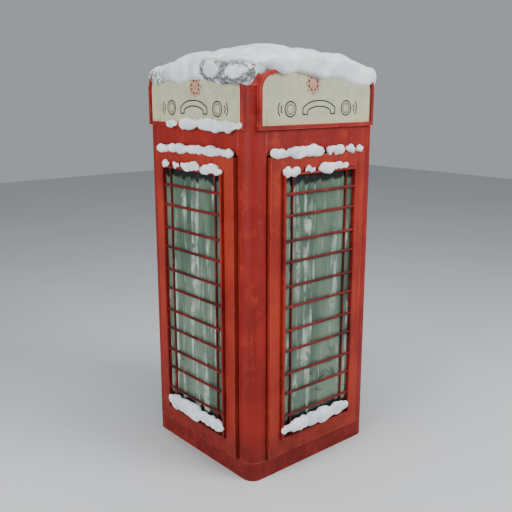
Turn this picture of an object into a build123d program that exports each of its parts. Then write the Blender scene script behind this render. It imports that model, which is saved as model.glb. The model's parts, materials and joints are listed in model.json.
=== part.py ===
from build123d import *
import os
from math import cos, radians, sin, sqrt

os.makedirs("parts", exist_ok=True)

# A cast-iron and glass telephone booth: four corner posts on a plinth, three glazed sides (one of
# them the door), one blank rear side that carries the pay telephone, and an illuminated sign box
# under each arched gable of the roof. Millimetres, +Z up, origin on the ground at the plan centre.
# A "plane" is a distance outwards from the centre of the booth to a face parallel to a side.
# A "half" is half a width about the middle of a side.

# ---- Driving dimensions: the body -----------------------------------------------------------
body_width = 1000.0
corner_radius = 70.0
post_width = 109.0
plinth_height = 115.0
side_height = 1810.0
frieze_height = 135.0
casting_wall = 9.0
plinth_flange = 48.0
anchor_lug_width = 130.0
anchor_inset = 95.0
anchor_radius = 9.0

# ---- Driving dimensions: the panel that fills each side -------------------------------------
groove = 12.0
panel_proud = 25.0
panel_thickness = 45.0
door_seat_gap = 1.0
stop_overlap = 14.0
stop_thickness = 12.0
channel_wall = 10.0

# ---- Driving dimensions: the glazing --------------------------------------------------------
stile_width = 98.0
bottom_rail_height = 109.0
top_rail_height = 103.0
trim_width = 13.0
trim_proud = 21.0
trim_gap = 4.0
trim_edge_radius = 2.6
glass_thickness = 6.0
glass_setback = 5.0
rebate_overlap = 8.0
bottom_row = 138.0
top_row = 103.5
short_row = 123.0
bar_count = 11
cross_bar_radius = 8.0
upright_bar_radius = 6.5
edge_pane_width = 62.0
bar_glass_gap = 0.4
bar_lap = 8.4

# ---- Driving dimensions: the signs and the roof ---------------------------------------------
springing_rise = 235.0
sign_inset = 47.0
sign_eaves_rise = 290.0
sign_arch_rise = 52.0
sign_corner_radius = 100.0
sign_proud = 20.0
sign_rim = 18.0
sign_rim_bottom = 22.0
opal_thickness = 6.0
roof_inset = 6.0
roof_wall = 10.0
dome_inset = 70.0
dome_foot_rise = 325.0
dome_rise = 95.0
hip_taper = 34.0
hip_rise = 105.0

# ---- Driving dimensions: floor, ceiling and lamp --------------------------------------------
plate_thickness = 6.0
cabin_clearance = 4.0
cable_entry_radius = 25.0
cable_entry_inset = 114.0
lamp_hole_radius = 110.0
lamp_lip = 8.0
lamp_wall = 3.0
lamp_height = 64.0
diffuser_drop = 42.0
bulb_radius = 30.0
bulb_cap_radius = 14.0
bulb_cap_lap = 6.0

# ---- Driving dimensions: door furniture -----------------------------------------------------
hinge_end_distance = 203.0
hinge_length = 100.0
hinge_plate = 2.5
hinge_plate_setback = 2.0
hinge_plate_inset = 6.0
knuckle_radius = 5.5
pin_radius = 3.0
pin_head_radius = 4.5
pin_head_height = 3.0
pin_stand_off = 6.0
running_fit = 0.05
clearance = 0.5
pull_height = 1050.0
pull_width = 40.0
pull_length = 120.0
pull_depth = 18.0
pull_plate = 2.0
pull_wall = 2.0
pull_border = 9.0

# ---- Driving dimensions: the case of the pay telephone --------------------------------------
board_side_gap = 49.0
board_bottom_gap = 633.0
board_top_gap = 213.0
board_thickness = 18.0
phone_half = 110.0
phone_depth = 140.0
phone_height = 440.0
phone_rise = 140.0
phone_wall = 5.0
phone_fillet = 12.0
gland_radius = 7.0
gland_length = 10.0
gland_rise = 60.0
coin_head_inset = 50.0
coin_head_front_gap = 30.0
coin_head_back_gap = 20.0
coin_head_height = 52.0
coin_slot_count = 3
coin_slot_pitch = 34.0
coin_slot_width = 3.0
coin_slot_length = 32.0
coin_slot_depth = 12.0
coin_slot_setback = 15.0
shelf_overhang = 40.0
shelf_drop = 50.0
shelf_depth = 150.0
shelf_thickness = 18.0

# ---- Driving dimensions: dial, buttons and return cup ---------------------------------------
dial_drop = 94.0
dial_radius = 52.0
dial_thickness = 7.0
dial_cap_radius = 9.0
dial_cap_thickness = 3.0
wheel_radius = 44.0
wheel_thickness = 3.0
wheel_gap = 2.5
finger_hole_radius = 6.5
finger_circle_radius = 32.0
finger_count = 10
finger_step = 30.0
first_finger_angle = 75.0
finger_stop_angle = 40.0
finger_stop_width = 4.0
button_inset = 38.0
button_radius = 13.0
button_proud = 10.0
collar_width = 4.0
collar_height = 4.0
button_flange = 3.0
return_half = 36.0
return_height = 40.0
return_depth = 45.0
return_wall = 3.0
flap_side_gap = 1.0
flap_bottom_gap = 2.0
flap_thickness = 2.0
flap_pivot_drop = 4.0
trunnion_radius = 1.5
trunnion_length = 3.0

# ---- Driving dimensions: cash door and lock -------------------------------------------------
cash_side_wall = 30.0
cash_bottom_wall = 12.0
cash_height = 106.0
cash_lap = 10.0
cash_height_lap = 5.0
cash_door_thickness = 4.0
cash_knuckle_radius = 4.0
cash_knuckle_gap = 6.0
cash_fixed_knuckle = 20.0
cash_pin_reach = 15.0
partition_gap = 4.0
lock_inset = 12.0
lock_radius = 8.0
lock_rose_width = 3.0
lock_rose_thickness = 4.0
lock_slot_width = 2.0
lock_cam_half = 6.0
lock_cam_length = 22.0
lock_cam_thickness = 3.0

# ---- Driving dimensions: switch hook and handset --------------------------------------------
hook_drop = 50.0
hook_setback = 70.0
hook_pivot_inset = 15.0
hook_thickness = 8.0
hook_half_width = 5.0
hook_yoke_gap = 12.0
hook_yoke_width = 6.0
hook_reach = 76.0
fork_half = 20.0
fork_gap = 3.0
fork_stop_width = 5.0
fork_stop_height = 7.0
hook_slot_gap = 2.0
hook_slot_below = 9.0
hook_slot_above = 10.0
bearing_spacing = 15.0
bearing_half_thickness = 3.0
bearing_half_height = 7.0
handle_radius = 11.0
handle_bow = 14.0
handset_offset = 48.0
handset_length = 184.0
earpiece_radius = 28.0
mouthpiece_radius = 26.0
cup_outer_depth = 15.0
earpiece_depth = 17.0
mouthpiece_depth = 19.0
lead_gland_radius = 5.0
lead_gland_length = 10.0

# ---- Driving dimensions: screws and snow ----------------------------------------------------
screw_radius = 3.0
screw_head_radius = 6.0
screw_head_height = 4.0
screws_per_jamb = 4
snow_depth = 45.0
snow_dome_extra = 9.0
snow_overhang = 25.0
snow_hang = 70.0
snow_hem_rise = 5.0
clump_round = 10.0
panel_snow_height = 44.0
panel_snow_proud = 14.0
trim_snow_height = 37.0
trim_snow_proud = 12.0
sill_snow_height = 84.0
sill_snow_proud = 18.0
sill_snow_lift = 2.0
sign_snow_height = 48.0
sign_snow_proud = 20.0
sign_snow_sink = 12.0
snow_sink = 4.0

# ---- Values worked out from them ------------------------------------------------------------
frieze_bottom = plinth_height + side_height
frieze_top = frieze_bottom + frieze_height
roof_springing = frieze_top + springing_rise
wall_plane = body_width / 2
wall_inner_plane = wall_plane - casting_wall
jamb_half = wall_plane - post_width
panel_half = jamb_half - groove
panel_bottom = plinth_height + groove
panel_top = frieze_bottom - groove
panel_plane = wall_plane + panel_proud
seat_plane = panel_plane - panel_thickness
stop_inner_plane = seat_plane - stop_thickness
stop_half = panel_half - stop_overlap
door_back_plane = seat_plane + door_seat_gap
glazing_half = panel_half - stile_width
glazing_bottom = panel_bottom + bottom_rail_height
glazing_top = panel_top - top_rail_height
trim_plane = panel_plane + trim_proud
glass_plane = panel_plane - glass_setback
glass_back_plane = glass_plane - glass_thickness
upright_plane = glass_plane + bar_glass_gap + upright_bar_radius
bar_plane = upright_plane + upright_bar_radius + cross_bar_radius - bar_lap
upright_x = glazing_half - edge_pane_width
sign_half = wall_plane - sign_inset
sign_eaves = frieze_top + sign_eaves_rise
sign_crown = sign_eaves + sign_arch_rise
sign_plane = wall_plane + sign_proud
dome_foot_radius = wall_plane - dome_inset
dome_foot_height = frieze_top + dome_foot_rise
roof_peak = dome_foot_height + dome_rise
ledge_plane = wall_inner_plane - plinth_flange
anchor_place = wall_plane - anchor_inset
plate_half = stop_inner_plane - cabin_clearance
cable_entry_place = plate_half - cable_entry_inset
ceiling_top = frieze_top + plate_thickness
hinge_heights = (panel_bottom + hinge_end_distance,
                 (panel_bottom + panel_top) / 2,
                 panel_top - hinge_end_distance)
hinge_x = panel_plane + pin_stand_off
hinge_y = (panel_half + jamb_half) / 2
pull_x = (glazing_half + trim_width + trim_gap + panel_half) / 2
board_half = panel_half - board_side_gap
board_bottom = panel_bottom + board_bottom_gap
board_top = panel_top - board_top_gap
phone_back = seat_plane - board_thickness
phone_front = phone_back - phone_depth
phone_front_inner = phone_front + phone_wall
phone_bottom = board_bottom + phone_rise
phone_top = phone_bottom + phone_height
dial_height = phone_top - dial_drop
cash_bottom = phone_bottom + cash_bottom_wall
cash_top = cash_bottom + cash_height
collar_radius = button_radius + collar_width
face_room = dial_height - dial_radius - cash_top
face_gap = (face_room - return_height - 2 * collar_radius) / 3
return_bottom = cash_top + face_gap
return_top = return_bottom + return_height
button_height = return_top + face_gap + collar_radius
button_x = phone_half - button_inset
flap_pivot_z = return_top - flap_pivot_drop
flap_pivot_y = phone_front + phone_wall / 2
trunnion_bore = trunnion_radius + running_fit
cash_half = phone_half - cash_side_wall
cash_middle = (cash_bottom + cash_top) / 2
cash_door_half = cash_half + cash_lap
cash_door_back = phone_front - clearance
cash_door_front = cash_door_back - cash_door_thickness
cash_pivot_x = -cash_door_half - cash_knuckle_gap
cash_pivot_y = phone_front - clearance - cash_knuckle_radius
cash_knuckle_end = cash_knuckle_gap + cash_fixed_knuckle
lock_x = cash_half - lock_inset
hook_height = phone_top - hook_drop
hook_y = phone_front + hook_setback
hook_pivot_x = -phone_half + hook_pivot_inset
handset_x = -phone_half - handset_offset
snow_plane = sign_plane + snow_overhang
snow_lowest = roof_springing + snow_hem_rise
reach = 3 * body_width
SIDES = {"front": 0, "door": 90, "rear": 180, "left": 270}


def block(x_range, y_range, z_range):
    """A rectangular block between the two ends given along each axis."""
    sizes = [pair[1] - pair[0] for pair in (x_range, y_range, z_range)]
    middle = [(pair[0] + pair[1]) / 2 for pair in (x_range, y_range, z_range)]
    return Pos(*middle) * Box(*sizes)


def side_block(half, outer_plane, inner_plane, z_range):
    """A block on the front side, as wide as twice half, between two planes."""
    return block((-half, half), (-outer_plane, -inner_plane), z_range)


def rod_y(radius, x, z, y_range):
    """A round rod along Y."""
    length = y_range[1] - y_range[0]
    return Pos(x, (y_range[0] + y_range[1]) / 2, z) * Rot(90, 0, 0) * Cylinder(radius, length)


def rod_x(radius, y, z, x_range):
    """A round rod along X."""
    length = x_range[1] - x_range[0]
    return Pos((x_range[0] + x_range[1]) / 2, y, z) * Rot(0, 90, 0) * Cylinder(radius, length)


def rod_z(radius, x, y, z_range):
    """A round rod along Z."""
    length = z_range[1] - z_range[0]
    return Pos(x, y, (z_range[0] + z_range[1]) / 2) * Cylinder(radius, length)


def on_side(side, solid):
    """Turns a piece made on the front side round to another side."""
    return Rot(0, 0, SIDES[side]) * solid


def save(name, *solids):
    """Writes one node; several solids stay separate inside it."""
    node = solids[0] if len(solids) == 1 else Compound(children=list(solids))
    export_step(node, f"parts/{name}.step")


def rounded_column(half, radius, z_range):
    """A square column with rounded vertical corners."""
    outline = RectangleRounded(2 * half, 2 * half, radius)
    return Pos(0, 0, z_range[0]) * extrude(outline, z_range[1] - z_range[0])


# ---- Fixing screws that hold the fixed panels to the jambs ------------------------------------
def screw_heights():
    """Evenly spaced heights up a jamb."""
    pitch = (panel_top - panel_bottom) / screws_per_jamb
    return [panel_bottom + pitch * (i + 0.5) for i in range(screws_per_jamb)]


def screw_places():
    """The half-width positions of the screws on a side, in the wall of the panel's channel."""
    across = panel_half - channel_wall / 2
    return [(sign * across, height) for sign in (-1, 1) for height in screw_heights()]


def screw_holes():
    """The cutters for one side's screws, through the stop and into the panel's wall."""
    depth = (-seat_plane - stop_thickness, -stop_inner_plane + 1)
    return [rod_y(screw_radius, x, z, depth) for x, z in screw_places()]


def screws():
    """The screws of one side, each a shank with a round head inside the cabin."""
    shank = (-seat_plane - stop_thickness, -stop_inner_plane)
    head = (-stop_inner_plane, -stop_inner_plane + screw_head_height)
    made = []
    for x, z in screw_places():
        made.append(rod_y(screw_radius, x, z, shank) + rod_y(screw_head_radius, x, z, head))
    return made


# ---- Plinth, posts and header rails -----------------------------------------------------------
def plinth():
    """A hollow base ring with a foot flange, a top flange and an upstand behind each side."""
    inner_radius = corner_radius - casting_wall
    ring = rounded_column(wall_plane, corner_radius, (0, plinth_height))
    ring -= rounded_column(wall_inner_plane, inner_radius, (casting_wall, plinth_height - casting_wall))
    opening = 2 * ledge_plane
    ring -= Pos(0, 0, plinth_height / 2) * Box(opening, opening, plinth_height)
    for side in SIDES:
        heights = (plinth_height, panel_bottom + stop_overlap)
        upstand = side_block(stop_half - clearance, seat_plane, stop_inner_plane, heights)
        ring += on_side(side, upstand)
    return ring + anchor_lugs()


def anchor_lugs():
    """The four corner pads of the foot flange, each drilled for an anchor bolt."""
    wide = (wall_plane - anchor_lug_width, wall_inner_plane)
    pads = block((-wide[1], -wide[0]), (-wide[1], -wide[0]), (0, casting_wall))
    pads = pads & rounded_column(wall_inner_plane, corner_radius - casting_wall, (0, casting_wall))
    pads -= rod_z(anchor_radius, -anchor_place, -anchor_place, (0, casting_wall))
    return [Rot(0, 0, turn) * pads for turn in SIDES.values()]


def corner_post():
    """The post at the front left corner: a rounded angle with a stop for the panel on each side."""
    heights = (plinth_height, roof_springing)
    inner_radius = corner_radius - casting_wall
    shell = rounded_column(wall_plane, corner_radius, heights)
    shell -= rounded_column(wall_inner_plane, inner_radius, heights)
    post = shell & block((-wall_plane, -jamb_half), (-wall_plane, -jamb_half), heights)
    root = -jamb_half - casting_wall
    returned = block((root, -jamb_half), (-wall_inner_plane, -stop_inner_plane), heights)
    stop = block((root, -stop_half), (-seat_plane, -stop_inner_plane), heights)
    for piece in (returned, stop):
        post += piece
        post += mirror(piece, about=Plane(origin=(0, 0, 0), z_dir=(1, -1, 0)))
    return post


def header_rail():
    """The frieze between two posts, with a stop for the panel and a ledge for the ceiling."""
    rail = side_block(jamb_half, wall_plane, wall_inner_plane, (frieze_bottom, frieze_top))
    rail_flange = (frieze_bottom, frieze_bottom + casting_wall)
    rail += side_block(stop_half - clearance, wall_inner_plane, stop_inner_plane, rail_flange)
    stop_heights = (panel_top - stop_overlap, frieze_bottom + casting_wall)
    rail += side_block(stop_half - clearance, seat_plane, stop_inner_plane, stop_heights)
    ledge_heights = (frieze_top - casting_wall, frieze_top)
    rail += side_block(stop_half - clearance, wall_inner_plane, ledge_plane, ledge_heights)
    return rail


# ---- The panel of a side: frame, trim, bars and glass ------------------------------------------
def glazing_block(grow, outer_plane, inner_plane):
    """A block as large as the glazed opening, grown all round."""
    heights = (glazing_bottom - grow, glazing_top + grow)
    return side_block(glazing_half + grow, outer_plane, inner_plane, heights)


def panel_slab(back_plane):
    """The slab of a panel with its rebated opening for the glass and its trim."""
    slab = side_block(panel_half, panel_plane, back_plane, (panel_bottom, panel_top))
    slab -= glazing_block(trim_width + trim_gap, panel_plane, glass_back_plane)
    slab -= glazing_block(-rebate_overlap, glass_back_plane, back_plane)
    return slab


def cast_panel():
    """A fixed panel, cast with a channel in its back to save weight."""
    inner = trim_width + trim_gap + channel_wall
    outer_half = panel_half - channel_wall
    heights = (panel_bottom + channel_wall, panel_top - channel_wall)
    back = (panel_plane - casting_wall, seat_plane)
    channel = side_block(outer_half, *back, heights) - glazing_block(inner, *back)
    panel = panel_slab(seat_plane) - channel
    for hole in screw_holes():
        panel -= hole
    return panel


def trim():
    """The raised moulding that holds the glass."""
    ring = glazing_block(trim_width, trim_plane, glass_plane)
    ring -= glazing_block(0, trim_plane, glass_plane)
    front = ring.faces().sort_by(Axis.Y)[0]
    return fillet(front.edges(), trim_edge_radius)


def pane():
    """The sheet that closes the opening, of glass or of iron."""
    return glazing_block(trim_width, glass_plane, glass_back_plane)


def bar_heights():
    """Heights of the cross bars: tall and short rows follow each other."""
    short_rows = (bar_count - 1) // 2
    tall_rows = bar_count - 1 - short_rows
    spread = glazing_top - glazing_bottom - bottom_row - top_row
    tall_row = (spread - short_rows * short_row) / tall_rows
    heights = [glazing_bottom + bottom_row]
    while len(heights) < bar_count:
        row = tall_row if len(heights) % 2 else short_row
        heights.append(heights[-1] + row)
    return heights


def bars():
    """The glazing bars: two uprights with the cross bars lapped in front of them."""
    grid = None
    for x in (-upright_x, upright_x):
        upright = rod_z(upright_bar_radius, x, -upright_plane, (glazing_bottom, glazing_top))
        grid = upright if grid is None else grid + upright
    for height in bar_heights():
        grid += rod_x(cross_bar_radius, -bar_plane, height, (-glazing_half, glazing_half))
    return grid


# ---- Door furniture ----------------------------------------------------------------------------
def hinge_knuckles(height):
    """Bottom, middle and top knuckle ranges of one hinge."""
    third = hinge_length / 3
    low = height - hinge_length / 2
    gap = clearance / 2
    return [(low + third * i + gap, low + third * (i + 1) - gap) for i in range(3)]


def hinge_leaf(height, on_door):
    """One leaf of a hinge, with its knuckles round the pin."""
    plate_y = (panel_half, panel_half + hinge_plate)
    if not on_door:
        plate_y = (jamb_half - hinge_plate, jamb_half)
    ranges = hinge_knuckles(height)
    mine = ranges[1:2] if on_door else [ranges[0], ranges[2]]
    plate_top = panel_plane - hinge_plate_setback
    heights = (height - hinge_length / 2, height + hinge_length / 2)
    inner_plane = door_back_plane + hinge_plate_inset if on_door else wall_inner_plane
    leaf = block((inner_plane, plate_top), plate_y, heights)
    for knuckle in mine:
        leaf += block((plate_top, hinge_x), plate_y, knuckle)
        leaf += rod_z(knuckle_radius, hinge_x, hinge_y, knuckle)
    return leaf - rod_z(pin_radius + running_fit, hinge_x, hinge_y, heights)


def hinge_pin(height):
    """A pin with a button head that stands on the top knuckle."""
    low = height - hinge_length / 2
    high = height + hinge_length / 2
    pin = rod_z(pin_radius, hinge_x, hinge_y, (low, high))
    return pin + rod_z(pin_head_radius, hinge_x, hinge_y, (high - clearance / 2, high + pin_head_height))


def cup_pull(grow=0.0):
    """The recessed pull, on the front side; grown by a clearance it cuts its own pocket."""
    half_width = pull_width / 2 - pull_border + pull_wall + grow
    half_length = pull_length / 2 - pull_border + pull_wall + grow
    heights = (pull_height - half_length, pull_height + half_length)
    cup = block((-half_width - pull_x, half_width - pull_x),
                (-panel_plane - 1, -panel_plane + pull_depth + grow), heights)
    if grow:
        return cup
    plate = block((-pull_width / 2 - pull_x, pull_width / 2 - pull_x),
                  (-panel_plane - pull_plate, -panel_plane),
                  (pull_height - pull_length / 2, pull_height + pull_length / 2))
    inner = block((-half_width + pull_wall - pull_x, half_width - pull_wall - pull_x),
                  (-panel_plane - pull_plate, -panel_plane + pull_depth - pull_wall),
                  (heights[0] + pull_wall, heights[1] - pull_wall))
    return plate + cup - inner


# ---- Signs and roof ----------------------------------------------------------------------------
def gable(grow, half_length, bottom=frieze_top):
    """A bar along Y with the gable's outline: upright sides, round shoulders and an arched top."""
    half = sign_half + grow
    shoulder = sign_eaves + grow
    left, right = (-half, shoulder), (half, shoulder)
    crown = (0, sign_crown + grow)
    outline = Polyline((-half, shoulder), (-half, bottom), (half, bottom), (half, shoulder))
    outline += ThreePointArc(left, crown, right)
    face = make_face(outline)
    corners = face.vertices().filter_by_position(Axis.Y, shoulder - 1, shoulder + 1)
    face = fillet(corners, sign_corner_radius + grow)
    bar = extrude(Plane.XZ * face, half_length, both=True)
    return bar


def cross_vault(grow, half_length, bottom=frieze_top):
    """Two gable bars crossing at right angles."""
    bar = gable(grow, half_length, bottom)
    return bar + Rot(0, 0, 90) * bar


def dome(grow):
    """The shallow dome in the middle of the roof, a cap of a sphere kept inside the walls."""
    sphere_radius = (dome_foot_radius**2 + dome_rise**2) / (2 * dome_rise)
    ball = Pos(0, 0, roof_peak - sphere_radius) * Sphere(sphere_radius + grow)
    return ball & rounded_column(wall_plane + grow, corner_radius + grow, (sign_eaves, reach))


def hips(grow):
    """The sloping corners between the gables."""
    foot = Pos(0, 0, roof_springing) * RectangleRounded(
        2 * (wall_plane + grow), 2 * (wall_plane + grow), corner_radius + grow)
    return extrude(foot, hip_rise, taper=hip_taper)


def above(height):
    """Everything over a height."""
    return Pos(0, 0, height + reach / 2) * Box(reach, reach, reach)


def roof_mass():
    """The outside of the roof, filled in."""
    vault = cross_vault(-roof_inset, wall_plane) & above(roof_springing)
    return vault + hips(0) + dome(0)


def roof():
    """The roof casting: the roof mass hollowed to a shell that is open below and at the gables."""
    hollow = cross_vault(-roof_inset - roof_wall, wall_plane) + dome(-roof_wall)
    return roof_mass() - hollow


def sign_frame(posts, roof_casting):
    """The rim of one sign, fitted over the posts and the gable end of the roof."""
    opening = gable(-sign_rim, sign_plane, frieze_top + sign_rim_bottom)
    ring = gable(0, sign_plane) - opening
    ring &= block((-reach, reach), (-sign_plane, -wall_inner_plane), (0, reach))
    for other in (*posts, roof_casting):
        ring -= other
    return ring


def sign_panel():
    """The opal sheet inside the rim, resting on the posts and the gable end."""
    sheet = gable(-sign_rim, sign_plane, frieze_top + sign_rim_bottom)
    return sheet & block((-reach, reach), (-wall_plane - opal_thickness, -wall_plane), (0, reach))


# ---- Floor, ceiling and lamp -------------------------------------------------------------------
def flat_plate(bottom):
    """A square plate that lies inside the stops."""
    return Pos(0, 0, bottom + plate_thickness / 2) * Box(2 * plate_half, 2 * plate_half, plate_thickness)


def diffuser():
    """A shallow glass bowl hung by its lip in the hole of the ceiling."""
    radius = lamp_hole_radius - clearance
    ball_radius = (radius**2 + diffuser_drop**2) / (2 * diffuser_drop)
    centre = ceiling_top - diffuser_drop + ball_radius
    bowl = Pos(0, 0, centre) * (Sphere(ball_radius) - Sphere(ball_radius - lamp_wall))
    bowl &= block((-ball_radius, ball_radius), (-ball_radius, ball_radius),
                  (ceiling_top - 2 * diffuser_drop, ceiling_top))
    lip = rod_z(lamp_hole_radius + lamp_lip, 0, 0, (ceiling_top, ceiling_top + lamp_wall))
    return bowl + (lip - rod_z(radius - 2 * lamp_wall, 0, 0, (ceiling_top, ceiling_top + lamp_wall)))


def lamp_housing():
    """A pressed cover over the lamp, with a socket boss under its top."""
    outer = lamp_hole_radius + lamp_lip + clearance + lamp_wall
    top = ceiling_top + lamp_height
    cover = rod_z(outer, 0, 0, (ceiling_top, top))
    cover -= rod_z(outer - lamp_wall, 0, 0, (ceiling_top, top - lamp_wall))
    return cover


def lamp_bulb():
    """The bulb with its cap, hanging from the top of the cover."""
    top = ceiling_top + lamp_height - lamp_wall
    centre = top - bulb_cap_radius - bulb_radius + bulb_cap_lap
    cap = rod_z(bulb_cap_radius, 0, 0, (centre, top))
    return Pos(0, 0, centre) * Sphere(bulb_radius) + cap


# ---- The pay telephone -------------------------------------------------------------------------
def case_interior(z_range):
    """The space inside the walls of the case, over a height range."""
    half = phone_half - phone_wall
    return block((-half, half), (phone_front_inner, phone_back - phone_wall), z_range)


def return_cup():
    """The walls of the return cup, and the hollow cut into them."""
    cup_back = phone_front_inner + return_depth
    outer = return_half + return_wall
    walls = block((-outer, outer), (phone_front_inner, cup_back + return_wall),
                  (return_bottom - return_wall, return_top + return_wall))
    hollow = block((-return_half, return_half), (phone_front, cup_back), (return_bottom, return_top))
    bore_reach = return_half + trunnion_length + 1
    hollow += rod_x(trunnion_bore, flap_pivot_y, flap_pivot_z, (-bore_reach, bore_reach))
    return walls, hollow


def hook_bearings():
    """The slot of the hook in the case's side, and the two bearings behind it."""
    inside = phone_half - phone_wall
    slot_half = hook_half_width + hook_slot_gap
    slot_heights = (hook_height - hook_slot_below, hook_height + hook_slot_above)
    slot = block((-phone_half, -inside), (hook_y - slot_half, hook_y + slot_half), slot_heights)
    heights = (hook_height - bearing_half_height, hook_height + bearing_half_height)
    bearings = []
    for y in (hook_y - bearing_spacing, hook_y + bearing_spacing):
        thick = (y - bearing_half_thickness, y + bearing_half_thickness)
        lug = block((-inside, hook_pivot_x + bearing_half_height), thick, heights)
        bearings.append(lug - rod_y(pin_radius + running_fit, hook_pivot_x, hook_height, thick))
    return slot, bearings


def cash_hinge_knuckles():
    """The fixed knuckles of the cash door, at both ends of the opening."""
    made = []
    top_low = cash_top - cash_knuckle_end
    for low in (cash_bottom + cash_knuckle_gap, top_low):
        heights = (low, low + cash_fixed_knuckle)
        knuckle = rod_z(cash_knuckle_radius, cash_pivot_x, cash_pivot_y, heights)
        knuckle += block((cash_pivot_x - cash_knuckle_radius, cash_pivot_x),
                         (cash_pivot_y, phone_front), heights)
        made.append(knuckle - rod_z(trunnion_bore, cash_pivot_x, cash_pivot_y, heights))
    return made


def phone_housing():
    """The coin box: a hollow case with bores, a return cup, a cash opening and hook bearings."""
    case = block((-phone_half, phone_half), (phone_front, phone_back), (phone_bottom, phone_top))
    uprights = case.edges().filter_by(Axis.Z).group_by(Axis.Y)[0]
    case = fillet(uprights, phone_fillet)
    case -= case_interior((phone_bottom + phone_wall, phone_top - phone_wall))
    partition_bottom = cash_top + partition_gap
    case += case_interior((partition_bottom, partition_bottom + phone_wall))
    front_wall = (phone_front, phone_front_inner)
    case -= block((-cash_half, cash_half), front_wall, (cash_bottom, cash_top))
    cup_walls, cup_hollow = return_cup()
    case += cup_walls
    case -= cup_hollow
    collar_front = phone_front - collar_height
    for x in (-button_x, button_x):
        case += rod_y(collar_radius, x, button_height, (collar_front, phone_front))
        case -= rod_y(button_radius + clearance, x, button_height, (collar_front, phone_front_inner))
    slot, bearings = hook_bearings()
    case -= slot
    for piece in (*bearings, *cash_hinge_knuckles()):
        case += piece
    gland_height = phone_bottom + gland_rise
    case += rod_x(gland_radius, hook_y, gland_height, (-phone_half - gland_length, -phone_half))
    return case


def dial_plate():
    """The fixed dial plate with its finger stop, spindle and centre cap."""
    face = phone_front - dial_thickness
    wheel_front = face - wheel_gap - wheel_thickness
    cap_back = wheel_front - clearance
    plate = rod_y(dial_radius, 0, dial_height, (face, phone_front))
    plate += rod_y(pin_radius, 0, dial_height, (cap_back, face))
    plate += rod_y(dial_cap_radius, 0, dial_height, (cap_back - dial_cap_thickness, cap_back))
    stop_half_width = finger_stop_width / 2
    stop = block((wheel_radius + 2 * clearance, dial_radius), (wheel_front, face),
                 (-stop_half_width, stop_half_width))
    return plate + Pos(0, 0, dial_height) * Rot(0, finger_stop_angle, 0) * stop


def finger_wheel():
    """The finger wheel: a disc with a ring of finger holes and a bore for the spindle."""
    back = phone_front - dial_thickness - wheel_gap
    thick = (back - wheel_thickness, back)
    wheel = rod_y(wheel_radius, 0, dial_height, thick)
    wheel -= rod_y(pin_radius + running_fit, 0, dial_height, thick)
    for i in range(finger_count):
        angle = radians(first_finger_angle + finger_step * i)
        x = finger_circle_radius * cos(angle)
        z = dial_height + finger_circle_radius * sin(angle)
        wheel -= rod_y(finger_hole_radius, x, z, thick)
    return wheel


def push_button(x):
    """A push button with a flange inside the case that keeps it in."""
    front = phone_front - collar_height - button_proud
    flange_front = phone_front_inner + clearance
    button = rod_y(button_radius, x, button_height, (front, flange_front))
    button += rod_y(collar_radius, x, button_height,
                    (flange_front, flange_front + button_flange))
    return button


def switch_hook():
    """The forked hook that carries the handset, with its cross pin."""
    heights = (hook_height - hook_thickness / 2, hook_height + hook_thickness / 2)
    yoke_x = -phone_half - hook_yoke_gap
    yoke_end = yoke_x - hook_yoke_width
    tip = -phone_half - hook_reach
    width = (hook_y - hook_half_width, hook_y + hook_half_width)
    pin_half = bearing_spacing + bearing_half_thickness
    lever = block((yoke_end, hook_pivot_x + pin_radius), width, heights)
    lever += rod_y(pin_radius, hook_pivot_x, hook_height, (hook_y - pin_half, hook_y + pin_half))
    lever += block((yoke_end, yoke_x), (hook_y - fork_half, hook_y + fork_half), heights)
    for sign in (-1, 1):
        inner = hook_y + sign * (handle_radius + fork_gap)
        outer = hook_y + sign * fork_half
        prong = (min(inner, outer), max(inner, outer))
        lever += block((tip, yoke_x), prong, heights)
        lever += block((tip, tip + fork_stop_width), prong, (heights[0], heights[1] + fork_stop_height))
    return lever


def handset():
    """The handset, hung by its earpiece: a bowed handle with a round cup at each end."""
    slot_half = handle_radius + fork_gap
    drop = sqrt(earpiece_radius**2 - slot_half**2)
    ear_z = hook_height + hook_thickness / 2 + drop + clearance
    mouth_z = ear_z - handset_length
    middle = (handset_x - handle_bow, hook_y, (ear_z + mouth_z) / 2)
    path = ThreePointArc((handset_x, hook_y, ear_z), middle, (handset_x, hook_y, mouth_z))
    handle = sweep((path ^ 0) * Circle(handle_radius), path)
    outer = handset_x - cup_outer_depth
    ear = rod_x(earpiece_radius, hook_y, ear_z, (outer, handset_x + earpiece_depth))
    mouth = rod_x(mouthpiece_radius, hook_y, mouth_z, (outer, handset_x + mouthpiece_depth))
    gland_bottom = mouth_z - mouthpiece_radius - lead_gland_length
    gland = rod_z(lead_gland_radius, handset_x, hook_y, (gland_bottom, mouth_z))
    return handle + ear + mouth + gland


def coin_head():
    """The block on top of the case with the coin slots."""
    half = phone_half - coin_head_inset
    front = phone_front + coin_head_front_gap
    top = phone_top + coin_head_height
    head = block((-half, half), (front, phone_back - coin_head_back_gap), (phone_top, top))
    slot_front = front + coin_slot_setback
    for i in range(coin_slot_count):
        x = (i - (coin_slot_count - 1) / 2) * coin_slot_pitch
        head -= block((x - coin_slot_width / 2, x + coin_slot_width / 2),
                      (slot_front, slot_front + coin_slot_length), (top - coin_slot_depth, top))
    return head


def directory_shelf():
    """The shelf under the case, fixed to the backboard."""
    half = phone_half + shelf_overhang
    top = phone_bottom - shelf_drop
    return block((-half, half), (phone_back - shelf_depth, phone_back), (top - shelf_thickness, top))


def coin_return_flap():
    """The flap of the return cup, on two stub trunnions."""
    half = return_half - flap_side_gap
    thick = (flap_pivot_y - flap_thickness / 2, flap_pivot_y + flap_thickness / 2)
    flap = block((-half, half), thick, (return_bottom + flap_bottom_gap, flap_pivot_z))
    pin_reach = return_half + trunnion_length
    return flap + rod_x(trunnion_radius, flap_pivot_y, flap_pivot_z, (-pin_reach, pin_reach))


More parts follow.
